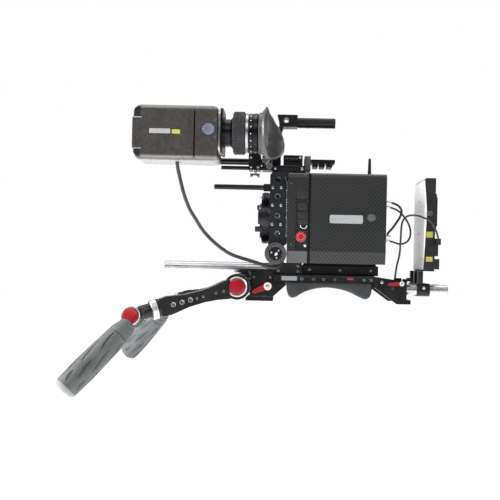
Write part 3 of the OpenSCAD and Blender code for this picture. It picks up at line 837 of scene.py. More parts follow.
def mixed(tree, factor, a, b):
    """The colour a where factor is 0 and b where it is 1."""
    node = tree.nodes.new("ShaderNodeMix")
    node.data_type = "RGBA"
    tree.links.new(factor, node.inputs[0])
    for socket, value in ((node.inputs[6], a), (node.inputs[7], b)):
        if isinstance(value, bpy.types.NodeSocket):
            tree.links.new(value, socket)
        else:
            socket.default_value = (*value, 1)
    return node.outputs[2]


def twill(name, lean, plain_below=None):
    """Twill carbon cloth on faces across Y. lean is 1 or -1, the way its diagonal lines climb."""
    material, tree, shader, coords = principled(name)
    calc = partial(math_node, tree)
    axes = tree.nodes.new("ShaderNodeSeparateXYZ")
    tree.links.new(coords, axes.inputs[0])
    across = calc("DIVIDE", axes.outputs["X"], TOW * MM)
    up = calc("DIVIDE", axes.outputs["Z"], TOW * MM)
    step = calc("MULTIPLY", calc("FLOOR", up), lean)
    turn = calc("FLOORED_MODULO", calc("ADD", calc("FLOOR", across), step), 4.0)
    warp_on_top = calc("LESS_THAN", turn, 1.5)

    def crown(value):
        return calc("SINE", calc("MULTIPLY", calc("FRACT", value), math.pi))

    warp, weft = crown(across), crown(up)
    height = calc("ADD", calc("MULTIPLY", warp, warp_on_top),
                  calc("MULTIPLY", weft, calc("SUBTRACT", 1.0, warp_on_top)))
    fibres = noise(tree, coords, 0.0004, 2)
    # Painted sheen: the warp tows are coloured lighter than the weft tows, for the way each direction of tow reflects
    # the light.
    shade = calc("MULTIPLY", warp_on_top, 0.75)
    shade = calc("ADD", shade, calc("MULTIPLY", fibres, 0.25))
    colour = ramp(tree, shade, CARBON_DARK, CARBON_LIGHT, 0.1, 1.0)
    if plain_below is not None:
        below = calc("LESS_THAN", axes.outputs["Z"], plain_below * MM)
        colour = mixed(tree, below, colour, PLAIN_GRAY)
        height = calc("MULTIPLY", height, calc("SUBTRACT", 1.0, below))
    tree.links.new(colour, shader.inputs["Base Color"])
    tree.links.new(ramp(tree, height, 0.5, 0.36), shader.inputs["Roughness"])
    shader.inputs["Specular IOR Level"].default_value = 0.35
    shader.inputs["Coat Weight"].default_value = 0.2
    shader.inputs["Coat Roughness"].default_value = 0.3
    bump(tree, shader, height, 0.00005)
    return material


carbon_side = twill("carbon_side_cover", 1)
carbon_front = twill("carbon_front_panel", -1, PLAIN_BELOW_Z)
machined("chassis", anodised, 0.5)
machined("left_cover", carbon_side, 0.9, angle=20)
machined("front_panel", carbon_front, 0.6, angle=20)
machined("right_cover", carbon_side, 0.9, "right_side_cover", keep=lambda c: c.x > 69, angle=20)
machined("right_cover", carbon_front, 0.6, "right_front_panel", keep=lambda c: c.x < 69, angle=20)
screwed("cover_screws", screw_steel, "camera", both_sides([(43, 62.4, 168), (44.5, 62.4, 82)]), size=(1.3, 0.25, 0.7))

# ---- Rear panel ----
# Moulded black plastic with a row of cooling slots over the fan and four bayonet sockets for the signal leads. The
# leads' plugs are knurled metal with a rubber sleeve.

machined("rear_panel", case_plastic, 0.5)
board_green = grained("board_green", (0.012, 0.09, 0.04), 0.35, 0.3, grain=0.001, depth=0.00004)
machined("electronics", board_green, 0.3, "circuit_board", keep=lambda c: c.z < 70)
machined("electronics", case_plastic, 0.3, "fan_shroud", keep=lambda c: c.z > 70)
machined("sensor_block", gray_plastic, 0.5)
SOCKETS = ((-30, 146.5, 1.7), (-20, 141, 1.4), (-30, 97, 1.7), (-20, 91.5, 1.4))
finished(
    [lathe([(0, 4.6), (0.5, 4.6), (0.5, 3.3), (3.3, 3.3), (3.3, 3.9), (4.6, 3.9), (4.6, lead_r + 1.4),
            (7.5, lead_r + 0.9), (11, lead_r + 0.25), (11, 0), (0, 0)], (178.0, y, z), (1, 0, 0), 28)
     for y, z, lead_r in SOCKETS],
    "signal_plugs", bright_screw, "camera",
)
screwed("rear_screws", screw_steel, "camera",
        [((177.9, y, z), (1, 0, 0)) for y in (-51, 51) for z in (63, 120, 176)], size=(1.8, 0.6, 1.0))
finished(
    [*[prism(box_outline((y - 4, z - 2), (y + 4, z + 2), 1.2), 0, 177.5, 179.2)
       for y in (6, 20, 34) for z in (97, 112, 127)],
     prism(box_outline((-8, 68), (36, 86), 2), 0, 177.5, 178.6)],
    "rear_socket_covers", gray_plastic, "camera", edge=0.3,
)

# ---- Badges on the covers ----
# A blank gray-white plate and a round gray dot on each side cover. Both are printed plastic film, glued on flat, and
# carry no words.

COVER_FACE = 62.5
badge_white = grained("badge_gray_white", (0.34, 0.345, 0.35), 0.45, 0.05, grain=0.0006, depth=0.00001)
for hand, s in HANDS:
    label(f"cover_badge_{hand}", box_outline((98, 113), (145, 125), 2.5), s * COVER_FACE, 0.15, badge_white, "camera",
          "white_paint")
    label(f"cover_dot_{hand}", [(157 + 6 * math.cos(t), 122 + 5.2 * math.sin(t)) for t in
          (math.pi / 16 * k for k in range(32))], s * COVER_FACE, 0.15, gray_plastic, "camera", "gray_plastic")

# ---- Button strip ----
# A soft black strip set into the panel's window. It holds a large key, three small ones, a recording button in a pale
# collar and a white lamp. A thin pale arc stands where the jog dial's travel is marked.

key_gray = grained("key_gray", (0.010, 0.0105, 0.011), 0.42, 0.2, grain=0.0004, depth=0.00002)
strip_rubber = grained("strip_rubber", (0.006, 0.006, 0.0065), 0.5, 0.3, grain=0.0004, depth=0.00003, gloss=0.3)
red_button = grained("red_button", (0.36, 0.008, 0.02), 0.35, 0.12, grain=0.0005, depth=0.00001, gloss=0.2)
pale_ring = grained("pale_red_ring", (0.55, 0.16, 0.18), 0.4, 0.06, grain=0.0005, depth=0.00001)
lamp_white = grained("white_lamp", (0.85, 0.86, 0.86), 0.3, 0.04, grain=0.0005, depth=0.00001)
FACE_Y = -62.5
machined("button_strip", strip_rubber, 0.3)
machined("menu_key", key_gray, 0.7, "menu_key_cap")
machined("soft_keys", key_gray, 0.6, "soft_key_caps")


def outline_frame(a, b, radius, width):
    """A thin raised frame on the strip's face round the rectangle from a to b."""
    outer = box_outline(a, b, radius)
    inner = box_outline((a[0] + width, a[1] + width), (b[0] - width, b[1] - width), max(0.2, radius - width))
    bm = bmesh.new()
    loops = [
        [bm.verts.new(Vector((x, y, z)) * MM) for x, z in line]
        for line, y in ((outer, FACE_Y + 0.9), (outer, FACE_Y + 0.55), (inner, FACE_Y + 0.55), (inner, FACE_Y + 0.9))
    ]
    skin(bm, [*loops, loops[0]])
    bmesh.ops.recalc_face_normals(bm, faces=bm.faces)
    return bm


finished(
    [
        outline_frame((51.2, 147.2), (65.8, 157.8), 1.6, 0.45),
        *[outline_frame((53.2, z - 0.8), (65.2, z + h + 0.8), 1.4, 0.4) for z, h in ((132, 7), (120, 7), (112, 4))],
    ],
    "key_frames", gray_plastic, "camera",
)
finished(
    lathe([(0, 0), (0, 5.6), (0.5, 6.4), (3.2, 6.5), (3.2, 0)], (58, FACE_Y - 1, 93), (0, 1, 0), 40),
    "rec_button_cap", red_button, "rec_button", node="rec_button",
)
finished(
    lathe([(0, 4.1), (0, 4.9), (-0.25, 4.8), (-0.25, 4.2), (0, 4.1)], (58, FACE_Y - 0.95, 93), (0, 1, 0), 40),
    "rec_button_ring", pale_ring, "rec_button",
)
finished(
    lathe([(1.2, 0), (1.2, 6.62), (0, 7.3), (-0.3, 7.1), (-0.3, 6.62), (0.9, 6.6), (0.9, 0)],
          (58, FACE_Y + 0.9, 93), (0, 1, 0), 40),
    "rec_button_collar", pale_ring, "camera",
)
finished(
    lathe([(0.3, 0), (0.3, 1.8), (-0.2, 1.7), (-0.7, 1.1), (-0.9, 0)], (64, FACE_Y + 0.9, 80.5), (0, 1, 0), 24),
    "strip_lamp", lamp_white, "camera",
)
arc_line = [
    Vector((61.5 + 4.6 * math.cos(math.radians(a)), FACE_Y + 0.7, 109.3 + 4.6 * math.sin(math.radians(a)))) * MM
    for a in range(180, 361, 15)
]


def wire(name, line, radius, sides, material, body):
    """A thin raised line."""
    piece = smooth(new_piece(name, tube_along(name, line, radius, sides), material), 60)
    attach(piece, body)


wire("dial_arc", arc_line, 0.00042, 8, lamp_white, "camera")

# ---- Lens mount and sensor ----
# A stainless flange with eight screws stands in a turned aluminium tube, and a locking ring with two ears turns
# round it. Inside, behind the bore, the coated sensor glass sits in its black block.

mount_steel = turned("mount_flange", (0.60, 0.60, 0.61), 0.22, 0, rings=0.0005)
dark_turned = turned("dark_turned_ring", (0.045, 0.046, 0.05), 0.3, 0, rings=0.0005)
glass = grained("sensor_glass", (0.02, 0.05, 0.045), 0.06, 0.1, grain=0.002, depth=0.000001, coat=1.0)
machined("lens_mount", mount_steel, 0.5, "lens_mount_tube")
machined("mount_ring", dark_turned, 0.6, "lens_locking_ring")
ribbed("locking_ring_ribs", dark_turned, "mount_ring", "black_anodised", 120, 37.5, (1.0, 1.0, 6.0), (6.3, 0, 122),
       (1, 0, 0))
FLANGE_X, FLANGE_R, MOUNT_Z = -1.9, 29.4, 122


def on_flange(turn):
    return FLANGE_X, FLANGE_R * math.sin(turn), MOUNT_Z + FLANGE_R * math.cos(turn)


screwed("flange_screws", bright_screw, "camera",
        [(on_flange(math.pi / 4 * k + 0.3), (-1, 0, 0)) for k in range(8)], size=(1.5, 0.35, 0.75))
finished(
    prism(box_outline((-14, 112), (14, 132), 0.6), 0, 46.4, 47.4),
    "sensor_glass_plate", glass, "camera", edge=0.2,
)
finished(
    [lathe([(0, 0), (0, 0.7), (-0.5, 0.7), (-0.5, 0)], on_flange(math.radians(173 + 3.4 * k)), (1, 0, 0), 12)
     for k in range(5)],
    "flange_contacts", gold, "camera",
)

# ---- Cage plates and rosettes ----
# Two milled side plates, hard anodised blue-black and drilled all over with threads. Each large thread has a bright
# countersunk rim. A toothed steel disc below takes accessory arms.

HOLE_X = 24.0
LARGE_HOLES_Z = (150, 122, 98)
SMALL_HOLES = [(x, z) for z in (162, 137, 110) for x in (17, 29)]
CAGE_FACE = 57.0
ROSETTE = (22.8, 68.8)


def rim_tree():
    """A flat ring with a sloping inner side at each point, for the mouth of a thread."""
    tree, add, inputs, close = geometry_tree("thread_rims", {"Hole Radius": "Float", "Rim Radius": "Float",
                                                             "Proud": "Float"})
    hole, proud = inputs["Hole Radius"], inputs["Proud"]
    outer = add("GeometryNodeMeshCylinder", Vertices=28, Radius=inputs["Rim Radius"], Depth=proud)
    inner = add("GeometryNodeMeshCone", Vertices=28, Radius_Top=times(add, hole, 1.18),
                Radius_Bottom=times(add, hole, 0.92), Depth=times(add, proud, 1.4))
    down = moved(add, inner.outputs["Mesh"], Z=times(add, proud, -0.7))
    ring = add("GeometryNodeMeshBoolean", {"operation": "DIFFERENCE"}, _0=outer.outputs["Mesh"], _1=down)
    return at_spots(tree, add, inputs, close, ring.outputs["Mesh"])


rims = rim_tree()
rim_metal = turned("thread_rim", (0.16, 0.165, 0.18), 0.3, 1, rings=0.0005)
machined("cage_plates", anodised_blue, 0.6)
for hand, s in HANDS:
    grown(
        f"cage_rims_{hand}", rims, rim_metal, "camera", "black_anodised",
        [((HOLE_X, s * CAGE_FACE, z), (0, s, 0)) for z in LARGE_HOLES_Z],
        Hole_Radius=3.175, Rim_Radius=4.3, Proud=0.5,
    )
    screwed(f"cage_screws_{hand}", bright_screw, "camera",
            [((x, s * (CAGE_FACE - 0.2), z), (0, s, 0)) for x, z in SMALL_HOLES], size=(1.9, 0.6, 1.0))
    finished(
        prism(box_outline((36.6, 92), (37.6, 170), 0.4), 1, *sorted((s * (CAGE_FACE - 0.2), s * (CAGE_FACE + 0.25)))),
        f"cage_edge_line_{hand}", bright_screw, "camera", edge=0.1,
    )
rosette_metal = turned("rosette_disc_metal", (0.20, 0.20, 0.21), 0.3, 1, rings=0.0005)
machined("rosette_discs", rosette_metal, 0.4, "rosette_disc_pair")
for hand, s in HANDS:
    ribbed(f"rosette_teeth_{hand}", rosette_metal, "camera", "aluminium", 60, 12.6, (4.6, 0.55, 0.7),
           (ROSETTE[0], s * 63.7, ROSETTE[1]), (0, s, 0))
    finished(
        lathe([(0, 3.0), (0, 9.4), (0.55, 9.4), (0.55, 8.7), (0.25, 8.4), (0.25, 3.0), (0, 3.0)],
              (ROSETTE[0], s * 63.45, ROSETTE[1]), (0, s, 0), 40),
        f"rosette_cup_{hand}", anodised, "camera",
    )
    screwed(f"rosette_screws_{hand}", bright_screw, "camera",
            [((ROSETTE[0] + 6 * math.sin(t), s * 63.6, ROSETTE[1] + 6 * math.cos(t)), (0, s, 0))
     for t in (0.75, 0.75 + math.pi / 2 * 1.35, 0.75 + math.pi * 1.35)], size=(1.35, 0.4, 0.7))

# ---- Top plates, top handle, accessory rail and antenna ----
# Two stacked black plates carry a post with a clamping block and a hollow tube, which is the top handle. A slotted
# rail points to the rear for small accessories, and a stub antenna stands on the lid.

for node, edge in (("top_plates", 0.6), ("top_handle", 0.6), ("accessory_rail", 0.5)):
    machined(node, anodised, edge)
rubber_black = grained("black_rubber", (0.012, 0.012, 0.0125), 0.62, 0.3, grain=0.0006, depth=0.00006, gloss=0.3)
machined("antenna", rubber_black, 0.4)
screwed("top_screws", bright_screw, "camera",
        [*both_sides([(55.5, 25.9, 209.5), (20, 55.9, 189.5), (58, 55.9, 189.5)]),
         *[((x, y, 212.9), (0, 0, 1)) for x in (36, 54) for y in (-18, 18)],
         *[((x, 0, 257.6), (0, 0, -1)) for x in (56, 66)]], size=(1.8, 0.6, 1.0))
finished(
    [prism(box_outline((33, z), (52, z + 0.6), 0.2), 1, *sorted((s * 25.7, s * 26.12)))
     for z in (197.5, 207.5) for s in (-1, 1)],
    "top_plate_lines", bright_screw, "camera",
)
finished(
    prism([(62.2, 192.2), (70.8, 192.2), (70.8, 212.8), (62.2, 212.8)], 1, -20.25, 20.25),
    "rail_end_block", gray_plastic, "camera", edge=0.6,
)

# ---- Viewfinder bracket ----
# A milled block on the cage carries two black rods along the lens, with round plugs in their ends, and a thinner rod
# below. A clamp slides on the upper rods, and a bright wing screw under it locks both the slide and the tilt.

bracket_rods = turned("black_rod", (0.03, 0.031, 0.034), 0.25, 0)
machined("vf_rail", anodised, 0.5, "bracket_block")
machined("vf_clamp", anodised, 0.6, "bracket_clamp")
wing_steel = grained("wing_screw_steel", (0.55, 0.55, 0.57), 0.22, 0.15, grain=0.0005, depth=0.00001, metallic=1.0)
machined("vf_knob", wing_steel, 0.5, "wing_screw")


def capped_rod(x0, x1, y, z, radius):
    """A rod along X whose front end is a rounded plug."""
    return lathe(
        [(x0, 0), (x0, radius * 0.45), (x0 + radius * 0.25, radius * 0.85), (x0 + radius * 0.6, radius),
         (x0 + 3.2, radius), (x0 + 3.3, radius - 0.35), (x0 + 3.9, radius - 0.35), (x0 + 4.0, radius),
         (x1, radius), (x1, 0)],
        (0, y, z), (1, 0, 0), 32,
    )


finished(
    [capped_rod(-64.1, 0.9, -40, 200, 4.58), capped_rod(-58.1, 0.9, -40, 191, 2.78),
     capped_rod(-66.1, 3.9, -54, 162, 3.58)],
    "bracket_rods", bracket_rods, "camera",
)
KNOBS = ((11.5, -54.5, 192.5, 4.4), (4.6, -54.5, 200.5, 3.6))
finished(
    [lathe([(0, 0), (0, r), (-5.2, r), (-5.8, r - 0.6), (-5.8, r * 0.45), (-5.3, r * 0.35), (-5.3, 0)],
           (x, y, z), (0, 1, 0), 28) for x, y, z, r in KNOBS],
    "bracket_knobs", gray_plastic, "camera",
)
for index, (x, y, z, r) in enumerate(KNOBS):
    ribbed(f"bracket_knob_ribs_{index}", gray_plastic, "camera", "gray_plastic", 26, r, (0.6, 0.5, 4.4),
           (x, y - 2.6, z), (0, 1, 0))
finished(
    prism([(5.5, 194.5), (7.2, 194), (12.2, 200.6), (12.4, 202.2), (10.6, 202.4)], 1, -60.6, -58.4),
    "bracket_lever", wing_steel, "camera", edge=0.5,
)
screwed("bracket_screws", bright_screw, "vf_carriage",
        [((x, -57.9, z), (0, -1, 0)) for x, z in ((-14.5, 204.5), (-4.5, 190.5), (-14.5, 190.5))],
        size=(1.7, 0.6, 0.95))

# ---- Viewfinder housing and flip-out screen ----
# A magnesium box painted warm gray, with a painted reflection: the paint turns paler along the top and bottom. Its
# operator's side is a thin screen that swings forward on a vertical hinge. The screen's front corners are black rubber,
# held by bright strips, and a round blue cap closes the rear of the side.

VF_GRAY = (0.040, 0.0375, 0.0345)
VF_REFLECTION_PAINT = (0.34, 0.335, 0.33)
VF_MIDDLE_Z = 226.6
CORNER_X = -158.5
CORNER_Z = 224.5
CORNER_HALF = 20.6
VF_FACE = -125.0


def viewfinder_paint(name, black_corners=False):
    """Warm gray satin paint, paler along the top and bottom as a painted reflection. The screen's front corners are
    black.
    """
    material = grained(name, VF_GRAY, 0.4, 0.12, grain=0.0005, depth=0.00003, metallic=0.3, gloss=0.6)
    tree = material.node_tree
    shader = tree.nodes["Principled BSDF"]
    calc = partial(math_node, tree)
    paint = shader.inputs["Base Color"].links[0].from_socket
    coords = tree.nodes.new("ShaderNodeTexCoord").outputs["Object"]
    axes = tree.nodes.new("ShaderNodeSeparateXYZ")
    tree.links.new(coords, axes.inputs[0])
    # Painted reflection: the colour turns paler near the top and bottom of the housing.
    from_middle = calc("ABSOLUTE", calc("SUBTRACT", axes.outputs["Z"], VF_MIDDLE_Z * MM))
    reflection_band = ramp(tree, from_middle, 0.0, 1.0, 0.0300, 0.0345)
    paint = mixed(tree, reflection_band, paint, VF_REFLECTION_PAINT)
    tree.links.new(paint, shader.inputs["Base Color"])
    if black_corners:
        front = calc("LESS_THAN", axes.outputs["X"], CORNER_X * MM)
        away = calc("ABSOLUTE", calc("SUBTRACT", axes.outputs["Z"], CORNER_Z * MM))
        corner = calc("MULTIPLY", front, calc("GREATER_THAN", away, CORNER_HALF * MM))
        tree.links.new(mixed(tree, corner, paint, (0.008, 0.008, 0.009)), shader.inputs["Base Color"])
    return material


vf_paint = viewfinder_paint("viewfinder_paint")
screen_paint = viewfinder_paint("screen_paint", black_corners=True)
trim_metal = grained("bright_trim", (0.62, 0.62, 0.62), 0.3, 0.1, grain=0.0005, depth=0.00001, metallic=0.9)
blue_cap = grained("blue_cap", (0.115, 0.125, 0.19), 0.4, 0.1, grain=0.0006, depth=0.00001, coat=0.3)
black_glass = grained("black_glass", (0.004, 0.004, 0.005), 0.05, 0.1, grain=0.003, depth=0.000001, coat=1.0)
machined("vf_housing", vf_paint, 2.2, "viewfinder_housing", angle=25)

# The screen: one plate with round corners and a tongue at the front. A fine groove follows the hinge cover's edge.
SCREEN_BACK = -118.35
screen_outline = [
    (-88.2, 194.6), (-88.2, 258.4), (-89.6, 259.8), (-161.0, 259.8),
    *[(-161 - 7 * math.sin(t), 252.8 + 7 * math.cos(t)) for t in (math.radians(a) for a in range(15, 91, 15))],
    (-168, 246.2), (-170, 245.2), (-170, 203.9), (-168, 202.9), (-168, 200.2),
    *[(-161 - 7 * math.cos(t), 200.2 - 7 * math.sin(t)) for t in (math.radians(a) for a in range(15, 91, 15))],
    (-89.6, 193.2),
]
finished(
    prism(screen_outline, 1, VF_FACE, SCREEN_BACK), "flip_screen", screen_paint, "vf_screen",
    edge=2.4, node="vf_screen",
)
finished(
    [prism(box_outline((-169.3, z), (-157.2, z + 1.5), 0.6), 1, VF_FACE - 0.25, VF_FACE + 0.6)
     for z in (203.2, 244.4)],
    "screen_strips", trim_metal, "vf_screen", edge=0.15,
)
SEAM = ((-87.2, 252.5), (-95.8, 244), (-95.8, 209), (-87.2, 200.5))
seam_line = metres([(x, VF_FACE - 0.02, z) for x, z in SEAM])
wire("screen_groove", seam_line, 0.00028, 6, strip_rubber, "vf_screen")
finished(
    prism(box_outline((-158, 203), (-102, 250), 2), 1, SCREEN_BACK - 0.3, SCREEN_BACK + 0.05),
    "screen_glass", black_glass, "vf_screen", edge=0.1,
)
finished(
    lathe([(0.4, 0), (0.4, 7.7), (-0.2, 7.7), (-0.45, 7.4), (-0.45, 6.6), (-0.3, 6.3), (-0.55, 0)],
          (-68.5, VF_FACE, 231.2), (0, 1, 0), 48),
    "blue_cap", blue_cap, "viewfinder",
)
label("screen_badge", box_outline((-147, 224), (-119, 230.5), 1.2), VF_FACE, 0.12, badge_white, "vf_screen",
      "white_paint")
label("screen_tag", box_outline((-117, 224), (-106, 229.5), 1.0), VF_FACE, 0.12, plate_yellow, "vf_screen",
      "white_paint")
screwed("housing_screws", screw_steel, "viewfinder",
        [*[((-59.5, VF_FACE + 0.1, z), (0, -1, 0)) for z in (242.7, 219.5)],
         *[((x, -67.1, z), (0, 1, 0)) for x in (-162, -62) for z in (196, 257)]], size=(1.5, 0.35, 0.8))


def slot_row_tree():
    """Round-ended bars in a row: a grille's slots."""
    tree, add, inputs, close = geometry_tree(
        "slot_rows", {"Count": "Int", "Pitch": "Float", "Bar Width": "Float", "Bar Length": "Float",
                      "Bar Depth": "Float"},
    )
    step = add("ShaderNodeCombineXYZ", X=inputs["Pitch"])
    line = add("GeometryNodeMeshLine", Count=inputs["Count"], Offset=step.outputs[0])
    size = add("ShaderNodeCombineXYZ", X=inputs["Bar Width"], Y=inputs["Bar Length"], Z=inputs["Bar Depth"])
    middle = add("GeometryNodeMeshCube", Size=size.outputs[0])
    half = times(add, inputs["Bar Width"], 0.5)
    end = add("GeometryNodeMeshCylinder", Vertices=12, Radius=half, Depth=inputs["Bar Depth"])
    reach = times(add, inputs["Bar Length"], 0.5)
    ends = [moved(add, end.outputs["Mesh"], Y=place) for place in (reach, times(add, reach, -1.0))]
    bar = add("GeometryNodeMeshBoolean", {"operation": "UNION"}, _1=[middle.outputs["Mesh"], *ends])
    row = add("GeometryNodeInstanceOnPoints", Points=line.outputs[0], Instance=bar.outputs["Mesh"])
    return at_spots(tree, add, inputs, close, row.outputs[0])


slots = slot_row_tree()
grown("housing_top_slots", slots, strip_rubber, "viewfinder", "dark_plastic", [((-150, -92, 263.0), (0, 0, 1))],
      Count=9, Pitch=4.5, Bar_Width=1.6, Bar_Length=16, Bar_Depth=0.5)
finished(
    lathe([(0.8, 0), (0.8, 9), (-0.4, 9), (-0.8, 8.6), (-0.8, 6.4), (0.0, 6.0), (-0.4, 3.5), (-0.5, 0)],
          (-167, -92, 226), (1, 0, 0), 40),
    "front_window", black_glass, "viewfinder",
)
finished(
    [*[prism(box_outline((x, 244), (x + 9, 250), 1.6), 1, -118.6, -117.6) for x in (-150, -136, -122, -108)],
     lathe([(0.5, 0), (0.5, 6), (-0.2, 6), (-0.25, 0)], (-112, -118, 216), (0, 1, 0), 32)],
    "housing_side_keys", strip_rubber, "viewfinder", edge=0.15,
)

# ---- Eyepiece and focus ring ----
# Turned black aluminium with two bright bands and white index dots, screwed to the housing through a bright and a
# black plate. The focus ring round it has a ribbed rubber grip, and a coated lens closes the tube.

EYE = (0, -96.0, 231.0)
eye_black = turned("eyepiece_black", (0.022, 0.022, 0.024), 0.3, 0)
eye_bright = turned("eyepiece_band", (0.40, 0.40, 0.41), 0.28, 0)
finished(
    [
        prism(box_outline((-123, 201), (-69, 261), 7), 0, -53.2, -50.2),
        lathe(
            [(-50.3, 0), (-50.3, 20.5), (-48.6, 20.5), (-48.2, 18.4), (-40.5, 18.4), (-38.6, 20.9), (-20.95, 20.9),
             (-20.95, 23.9), (-20.4, 24.8), (-16.1, 24.8), (-16.1, 24.0), (-15.4, 24.0), (-15.4, 26.4), (-15.0, 26.8),
             (-10.4, 26.8), (-10.1, 26.2), (-9.2, 26.2), (-8.9, 26.8), (-8.5, 27.0), (-4.2, 27.0), (-3.2, 26.2),
             (-3.2, 17.6), (-4.0, 17.0), (-26.0, 17.0), (-26.0, 0)],
            EYE, (1, 0, 0), 64),
        lathe([(0, 8), (13.5, 8), (13.5, 6.5), (17.7, 6.5), (17.7, 4), (26.0, 4), (26.0, 0), (0, 0)],
              (-11, -76.3, 231), (0, 1, 0), 32),
    ],
    "eyepiece_body", eye_black, "viewfinder", node="eyepiece",
)
finished(
    [
        prism(box_outline((-122, 201.5), (-70, 260.5), 8), 0, -56.2, -53.1),
        lathe([(-20.3, 24.7), (-20.3, 26.2), (-19.9, 26.6), (-16.8, 26.6), (-16.4, 26.2), (-16.4, 24.7),
               (-20.3, 24.7)], EYE, (1, 0, 0), 64),
    ],
    "eyepiece_bands", eye_bright, "viewfinder", edge=0.3,
)
finished(
    lathe([(-26.1, 0), (-26.1, 16.8), (-24.6, 16.8), (-23.2, 13), (-22.3, 7), (-22.0, 0)], EYE, (1, 0, 0), 48),
    "eyepiece_lens", glass, "viewfinder",
)
finished(
    [lathe([(-0.3, 0), (-0.3, 0.8), (0.16, 0.7), (0.2, 0)],
           (x, EYE[1] + 26.8 * math.sin(t), EYE[2] + 26.8 * math.cos(t)),
           (0, math.sin(t), math.cos(t)), 12)
     for x, turns in ((-12.8, range(-140, 221, 20)), (-6.4, range(-130, 231, 40)))
     for t in (math.radians(a) for a in turns)],
    "eyepiece_dots", lamp_white, "viewfinder",
)
rubber_gray = grained("focus_rubber", (0.034, 0.035, 0.037), 0.6, 0.2, grain=0.0006, depth=0.00005, gloss=0.3)
finished(
    lathe([(-37, 21.1), (-37, 27.2), (-36.4, 27.9), (-21.6, 27.9), (-21, 27.2), (-21, 21.1), (-37, 21.1)], EYE,
          (1, 0, 0), 96),
    "focus_ring_core", rubber_gray, "focus_ring", node="focus_ring",
)
ribbed("focus_ring_ribs", rubber_gray, "focus_ring", "black_rubber", 84, 27.9, (2.0, 1.1, 13.6),
       (-29, EYE[1], EYE[2]), (1, 0, 0))

# ---- Eyecup ----
# One piece of moulded black rubber, stretched over the eyepiece's rear. It is long on the temple's side and short on
# the operator's near side, with a soft point at the top.

CUP_RIM = (
    (0, 7.5), (30, 6.2), (60, 5.4), (90, 5.6), (125, 7.4), (155, 10.8), (175, 15.5), (195, 23.0), (212, 29.5),
    (232, 32.6), (252, 32.8), (270, 31.0), (290, 26.0), (312, 18.0), (335, 11.0), (360, 7.5),
)
CUP_BASE_X = -2.7
CUP_WALL = 2.2
CUP_LIP = 0.9
CUP_BORE = 17.3
CUP_AROUND, CUP_ALONG = 96, 18


def eased(t):
    t = max(0.0, min(1.0, t))
    return t * t * (3 - 2 * t)


def cup_rim(angle):
    """How far back the rim reaches at an angle from the top, towards the operator."""
    for (a, x), (b, y) in zip(CUP_RIM, CUP_RIM[1:]):
        if angle <= b:
            return x + (y - x) * eased((angle - a) / (b - a)) * 0.5 + (y - x) * (angle - a) / (b - a) * 0.5
    return CUP_RIM[-1][1]


def cup_radius(x, angle):
    flare = 28.2 + 6.2 * eased((x - 0.5) / 10) - 3.2 * eased((x - 13) / 20)
    beside_top = min(angle, 360 - angle)
    return flare + 4.2 * math.exp(-((beside_top / 26) ** 2)) * eased((x + 1) / 9)


def eyecup_mesh():
    bm = bmesh.new()
    loops = []
    outward = [i / CUP_ALONG for i in range(CUP_ALONG + 1)]
    for inside, t in [*((False, t) for t in outward), *((True, t) for t in reversed(outward))]:
        loop = []
        for k in range(CUP_AROUND):
            angle = 360 * k / CUP_AROUND
            rim = cup_rim(angle)
            x = CUP_BASE_X + t * (rim - CUP_BASE_X)
            radius = cup_radius(x, angle)
            if inside:
                radius -= CUP_WALL * (1 if t < 1 else 0.75)
                radius = max(CUP_BORE, radius - 8.0 * (1 - eased((x - CUP_BASE_X) / 6.0)))
                x -= 0.5 if t == 1 else 0
            elif t > 0.9:
                radius += CUP_LIP * math.sin((t - 0.9) * 10 * math.pi)
            turn = math.radians(angle)
            loop.append(
                bm.verts.new(Vector((x, EYE[1] - radius * math.sin(turn), EYE[2] + radius * math.cos(turn))) * MM)
            )
        loops.append(loop)
    skin(bm, [*loops, loops[0]], inside_after=CUP_ALONG)
    bmesh.ops.recalc_face_normals(bm, faces=bm.faces)
    return bm


# The outer and inner faces are lit and shaded copies of one rubber: the inside's much darker colour is painted shade
# inside the cup.
cup_rubber = grained("eyecup_rubber", (0.05, 0.051, 0.053), 0.38, 0.2, grain=0.0008, depth=0.00003, gloss=0.6)
cup_inside_shade = grained("eyecup_inside_painted_shade", (0.003, 0.003, 0.0035), 0.24, 0.25, grain=0.0008, depth=0.00003, gloss=0.15)
cup = finished(eyecup_mesh(), "eyecup_rubber", cup_rubber, "eyecup", node="eyecup", angle=60)
cup.data.materials.append(cup_inside_shade)
soft = cup.modifiers.new("soft", "SUBSURF")
soft.levels = soft.render_levels = 1

# ---- Handle arms and their buttons ----
# Two black arms turn on toothed rosettes at the foot's bracket; their chamfers are coloured bright metal as a painted
# highlight along the edges. A red button in a bright collar frees each one. Three round holes near the outer end take
# accessories.

HEAD = Vector((-29, -77, 21.6))
ARM_END = Vector((-134, -118, -9))
HEAD_FACE = -86.0
BUTTON_R = 11.0
arm_black = grained("arm_black", (0.008, 0.008, 0.009), 0.3, 0.3, grain=0.0004, depth=0.00002, metallic=0.3, gloss=0.4)
# Bright metal for the polished collars, bands and rims, and also for the arms' chamfers, where it is a painted
# highlight.
polished_metal_and_edge_highlight = grained("polished_metal_and_edge_highlight", (0.56, 0.56, 0.57), 0.34, 0.12, grain=0.0006, depth=0.00001, metallic=0.75)
button_red = grained("button_red", (0.25, 0.003, 0.010), 0.3, 0.1, grain=0.0008, depth=0.00001, gloss=0.2, coat=0.15)


def sided(bm, sign):
    """The shape as drawn for the left handle, or its mirror image for the right one."""
    if sign > 0:
        for vert in bm.verts:
            vert.co.y *= -1
        bmesh.ops.reverse_faces(bm, faces=bm.faces)
    return bm


def edge_highlight_paint(piece):
    """Colours the chamfers of a finished piece bright metal, a painted highlight along its edges."""
    piece.data.materials.append(polished_metal_and_edge_highlight)
    piece.modifiers["edge"].material = 1


def handed(hand, s, name, profile, centre, axis, sides, material, body, node=None):
    """A turned piece of one handle, drawn for the left one."""
    finished(sided(lathe(profile, centre, axis, sides), s), f"{hand}_{name}", material, f"{hand}_{body}",
             node=node and f"{hand}_{node}")


